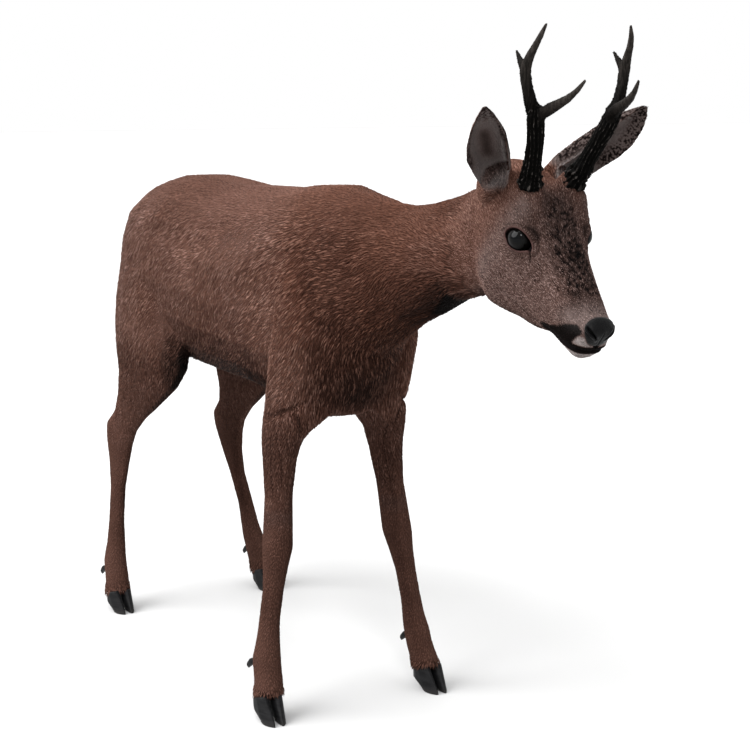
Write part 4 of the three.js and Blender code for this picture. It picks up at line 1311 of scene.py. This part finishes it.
def rooted(wanted, spacing):
    """Evenly scattered roots on those triangles: the triangle and the place in it of each.

    Places are drawn too densely and then thinned to one in each cell of a grid.
    """
    index = np.flatnonzero(wanted)
    count = int(areas[index].sum() / spacing ** 2 * 3.2)
    picked = chance.choice(index, count, p=areas[index] / areas[index].sum())
    first, second = chance.random((2, count))
    fold = first + second > 1
    first[fold], second[fold] = 1 - first[fold], 1 - second[fold]
    parts = np.stack([1 - first - second, first, second], axis=1)
    places = (points[corners[picked]] * parts[:, :, None]).sum(axis=1)
    cell = np.floor(places / spacing).astype(np.int64)
    code = (cell[:, 0] * 73856093) ^ (cell[:, 1] * 19349663) ^ (cell[:, 2] * 83492791)
    _, keepers = np.unique(code, return_index=True)
    keepers = np.sort(keepers)
    kept = keepers[~bald[corners[picked[keepers]]].any(axis=1)]
    return picked[kept], parts[kept]


def clumped(root, ahead, across, along):
    """For each tuft the one it leans towards: the nearest leader, counted shorter along the lie."""
    leaders = np.arange(0, len(root), 2)
    tree = KDTree(len(leaders))
    for number, place in enumerate(root[leaders]):
        tree.insert(place, number)
    tree.balance()
    found = np.array([[hit[1] for hit in tree.find_n(place, 7)] for place in root])
    apart = root[leaders][found] - root[:, None]
    forward = (apart * ahead[:, None]).sum(axis=2)
    sideways = np.linalg.norm(apart - forward[:, :, None] * ahead[:, None], axis=2)
    nearest = np.argmin((forward / along) ** 2 + (sideways / across) ** 2, axis=1)
    return leaders[found[np.arange(len(root)), nearest]]


floor_points = points[crease_shade * (1 - head) > 0.80]
groove_floor = KDTree(len(floor_points))
for number, place in enumerate(floor_points):
    groove_floor.insert(place, number)
groove_floor.balance()


CREASE_HALF = 0.0009      # no hair lies across this much to either side of a crease
PATCH = 0.0030            # the width of a tuft's place on the flattened hide
TUFT_FACES = np.array([(0, 2, 1), (1, 2, 4), (0, 1, 3), (0, 3, 2), (1, 4, 3), (2, 3, 4)])
PATCH_CORNERS = PATCH * np.array([(0, -0.5), (-0.5, -0.1), (0.5, -0.1), (0.05, 0.0), (0, 0.5)])
SHARE_OF_LENGTH = (0.0, 0.55, 0.55, 0.70, 1.0)


def tufted(picked, parts, flat, length, clump_size, shared_tone):
    """The five points of each tuft, with the markings, tone and place on the laid-out hide.

    A tuft is a closed sliver of six faces, pointed at its root and tip, lying along the hide.
    """
    def at(values):
        blended = values[corners[picked]]
        return (blended * parts.reshape(parts.shape + (1,) * (blended.ndim - 2))).sum(axis=1)

    root, normal = at(points), at(normals)
    normal /= np.linalg.norm(normal, axis=1)[:, None]
    ahead = laid_flat(at(way), normal)
    count = len(root)
    luck = chance.random((count, 4))
    long, wide, lift = length(root, at(face), luck)
    quiet, loose = at(calm), at(shaggy)
    trim = 1 - 0.78 * at(crease_shade)
    leader = clumped(root, ahead, *clump_size)
    clump = luck[leader, 0] if shared_tone else luck[:, 0]
    long = long * trim
    lift = lift * (0.55 + 0.90 * clump) * trim * (1 + 0.5 * loose) * (1 - 0.55 * quiet)
    for k in np.flatnonzero(at(beside_groove) > 0.02):
        for reach in (0.0, 0.25, 0.5, 0.75, 1.0):
            if groove_floor.find(root[k] + ahead[k] * (long[k] * reach))[2] < CREASE_HALF:
                long[k] *= max(reach - 0.22, 0.10)
                lift[k] *= 0.4
                break
    turn = (luck[:, 3] - 0.5) * 0.30
    ahead = ahead * np.cos(turn)[:, None] + np.cross(normal, ahead) * np.sin(turn)[:, None]
    guess = root + ahead * (0.42 * long)[:, None]
    guess_tip = root + ahead * long[:, None]
    gather = guess_tip[leader] - guess_tip
    gather -= (gather * ahead).sum(axis=1)[:, None] * ahead
    gather -= (gather * normal).sum(axis=1)[:, None] * normal
    gather *= np.minimum(1, 0.30 * long / np.maximum(np.linalg.norm(gather, axis=1), 1e-6))[:, None]
    guess_tip += 0.62 * gather
    guess += 0.16 * gather

    # the middle and the tip are set down on the hide, except where they hang over a hoof
    belly, tip, over, tip_over = np.empty((4, count, 3))
    under, tip_under = np.empty((2, count), int)
    for k in range(count):
        belly[k], over[k], under[k], _ = surface.find_nearest(guess[k])
        tip[k], tip_over[k], tip_under[k], _ = surface.find_nearest(guess_tip[k])
    turned_away = (over * normal).sum(axis=1) < 0.2
    over[turned_away] = tip_over[turned_away] = normal[turned_away]
    belly[turned_away], tip[turned_away] = guess[turned_away], guess_tip[turned_away]
    fringe = root[:, 2] < 0.0440
    for hung, share, proud in ((belly, 0.5, 0.0008), (tip, 1.0, 0.0016)):
        hung[fringe] = (root + ahead * (share * long)[:, None] + normal * proud)[fringe]
    aside = np.cross(over, ahead)
    aside /= np.maximum(np.linalg.norm(aside, axis=1), 1e-6)[:, None]
    low = belly + over * (0.28 * lift)[:, None]
    high = belly + over * (0.28 * lift + 0.34 * wide)[:, None]
    tip = tip + tip_over * lift[:, None]
    stray = np.linalg.norm(tip - root, axis=1) > 1.35 * long + 0.002
    tip[stray] = guess_tip[stray]
    half = wide[:, None] / 2
    sunk = root - normal * 0.0006
    body = np.stack([sunk, low - aside * half, low + aside * half, high, tip], axis=1)

    own_marks, own_tone = np.empty((2, count, 5, 3))
    own_marks[:, 0] = at(coat_marks)
    own_marks[:, 1:4] = coat_marks[corners[under]].mean(axis=1)[:, None]
    own_marks[:, 4] = coat_marks[corners[tip_under]].mean(axis=1)
    own_tone[:, :, 0] = (0.5 + 0.74 * (clump - 0.5) * (1 - quiet) * (1 + 0.4 * loose))[:, None]
    own_tone[:, :, 1] = (0.5 + (luck[:, 2] - 0.5) * (1 - quiet))[:, None]
    # how far along the tuft each point is, which sets its painted shade; calm places have it evened
    # out
    own_tone[:, :, 2] = SHARE_OF_LENGTH
    own_tone[:, :, 2] += (0.62 - own_tone[:, :, 2]) * (0.7 * quiet)[:, None]
    spots = (flat[picked] * parts[:, :, None]).sum(axis=1)[:, None, :] + PATCH_CORNERS[None]
    return body, own_marks, own_tone, spots


def coat_piece(name, slot, body, own_marks, own_tone, spots):
    """One piece of the coat, of all the tufts given."""
    mesh = bpy.data.meshes.new(name)
    faces = (TUFT_FACES[None] + 5 * np.arange(len(body))[:, None, None]).reshape(-1, 3)
    mesh.vertices.add(5 * len(body))
    mesh.vertices.foreach_set("co", body.astype(np.float32).ravel())
    mesh.loops.add(faces.size)
    mesh.loops.foreach_set("vertex_index", faces.astype(np.int32).ravel())
    mesh.polygons.add(len(faces))
    mesh.polygons.foreach_set("loop_start", np.arange(0, faces.size, 3, dtype=np.int32))
    mesh.update(calc_edges=True)
    piece = bpy.data.objects.new(name, mesh)
    bpy.context.collection.objects.link(piece)
    keep(piece, "marks", own_marks.reshape(-1, 3))
    keep(piece, "tone", own_tone.reshape(-1, 3))
    layer = mesh.uv_layers.new(name="OFBake")
    layer.data.foreach_set("uv", spots.reshape(-1, 2)[faces.ravel()].astype(np.float32).ravel())
    mesh.materials.append(hair.material)
    mesh.shade_smooth()
    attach(piece, "root")


# How long and how wide a tuft is, and how far its tip stands off the hide.
def body_length(root, face, luck):
    neck_share = ease(-root[:, 1], 0.13, 0.25)
    return ((0.0108 + 0.0005 * neck_share) * (0.75 + 0.5 * luck[:, 1]),
            0.0015 * (0.7 + 0.6 * luck[:, 2]), 0.0022 * (0.45 + 0.8 * luck[:, 1] ** 2))


def leg_length(root, face, luck):
    high = ease(root[:, 2], 0.24, 0.42)
    fringe = 1 - ease(root[:, 2], 0.040, 0.046)
    long = 0.0060 + 0.0042 * high + 0.0050 * fringe
    return (long * (0.70 + 0.6 * luck[:, 1]),
            (0.0013 + 0.0003 * high + 0.0008 * fringe) * (0.7 + 0.6 * luck[:, 2]),
            (0.0005 + 0.0012 * high) * (0.4 + luck[:, 1] ** 2))


def face_length(root, face, luck):
    muzzle = ease(face[:, 1], 120, 190)
    chin = (1 - ease(mouth_height(face), -6, -2)) * ease(face[:, 1], 150, 190)
    long = 0.0030 - 0.0009 * muzzle + 0.0008 * chin + 0.005 * (1 - ease(face[:, 1], -20, 35))
    return (long * (0.75 + 0.5 * luck[:, 1]),
            (0.00086 - 0.0001 * muzzle) * (0.7 + 0.6 * luck[:, 2]),
            (0.0008 - 0.0002 * muzzle) * (0.3 + luck[:, 1] ** 2))


def ear_length(root, face, luck):
    within, _ = ear_edges(root)
    inner = (1 - ease(np.abs(within - 8), 4, 7)) * (1 - ease(face[:, 2], 40, 55))
    return ((0.0026 + 0.0034 * inner) * (0.75 + 0.5 * luck[:, 1]),
            0.00078 * (0.7 + 0.6 * luck[:, 2]), (0.0003 + 0.0009 * inner) * (0.4 + luck[:, 1] ** 2))


# Each zone: its triangles of the hide, its number of pieces, the room for one tuft, how wide and
# long a clump is, whether a clump shares one tone, the rule for its tufts and its slot.
for part, wanted, pieces, spacing, clump_size, shared_tone, length, slot in (
        ("body", ~middle_face & ~middle_leg, 4, 0.00256, (0.0018, 0.009), True,
         body_length, "coat"),
        ("legs", middle_leg, 2, 0.00240, (0.0018, 0.008), True, leg_length, "coat"),
        ("face", middle_face & ~middle_ear, 2, 0.00133, (0.0012, 0.0020), False,
         face_length, "face_coat"),
        ("ears", middle_ear, 1, 0.00160, (0.0013, 0.0030), False, ear_length, "ear_coat")):
    flat = unwrapped(wanted)
    picked, parts = rooted(wanted, spacing)
    made = tufted(picked, parts, flat, length, clump_size, shared_tone)
    for number in range(pieces):
        coat_piece(f"coat_{part}_{number + 1}", slot, *(values[number::pieces] for values in made))
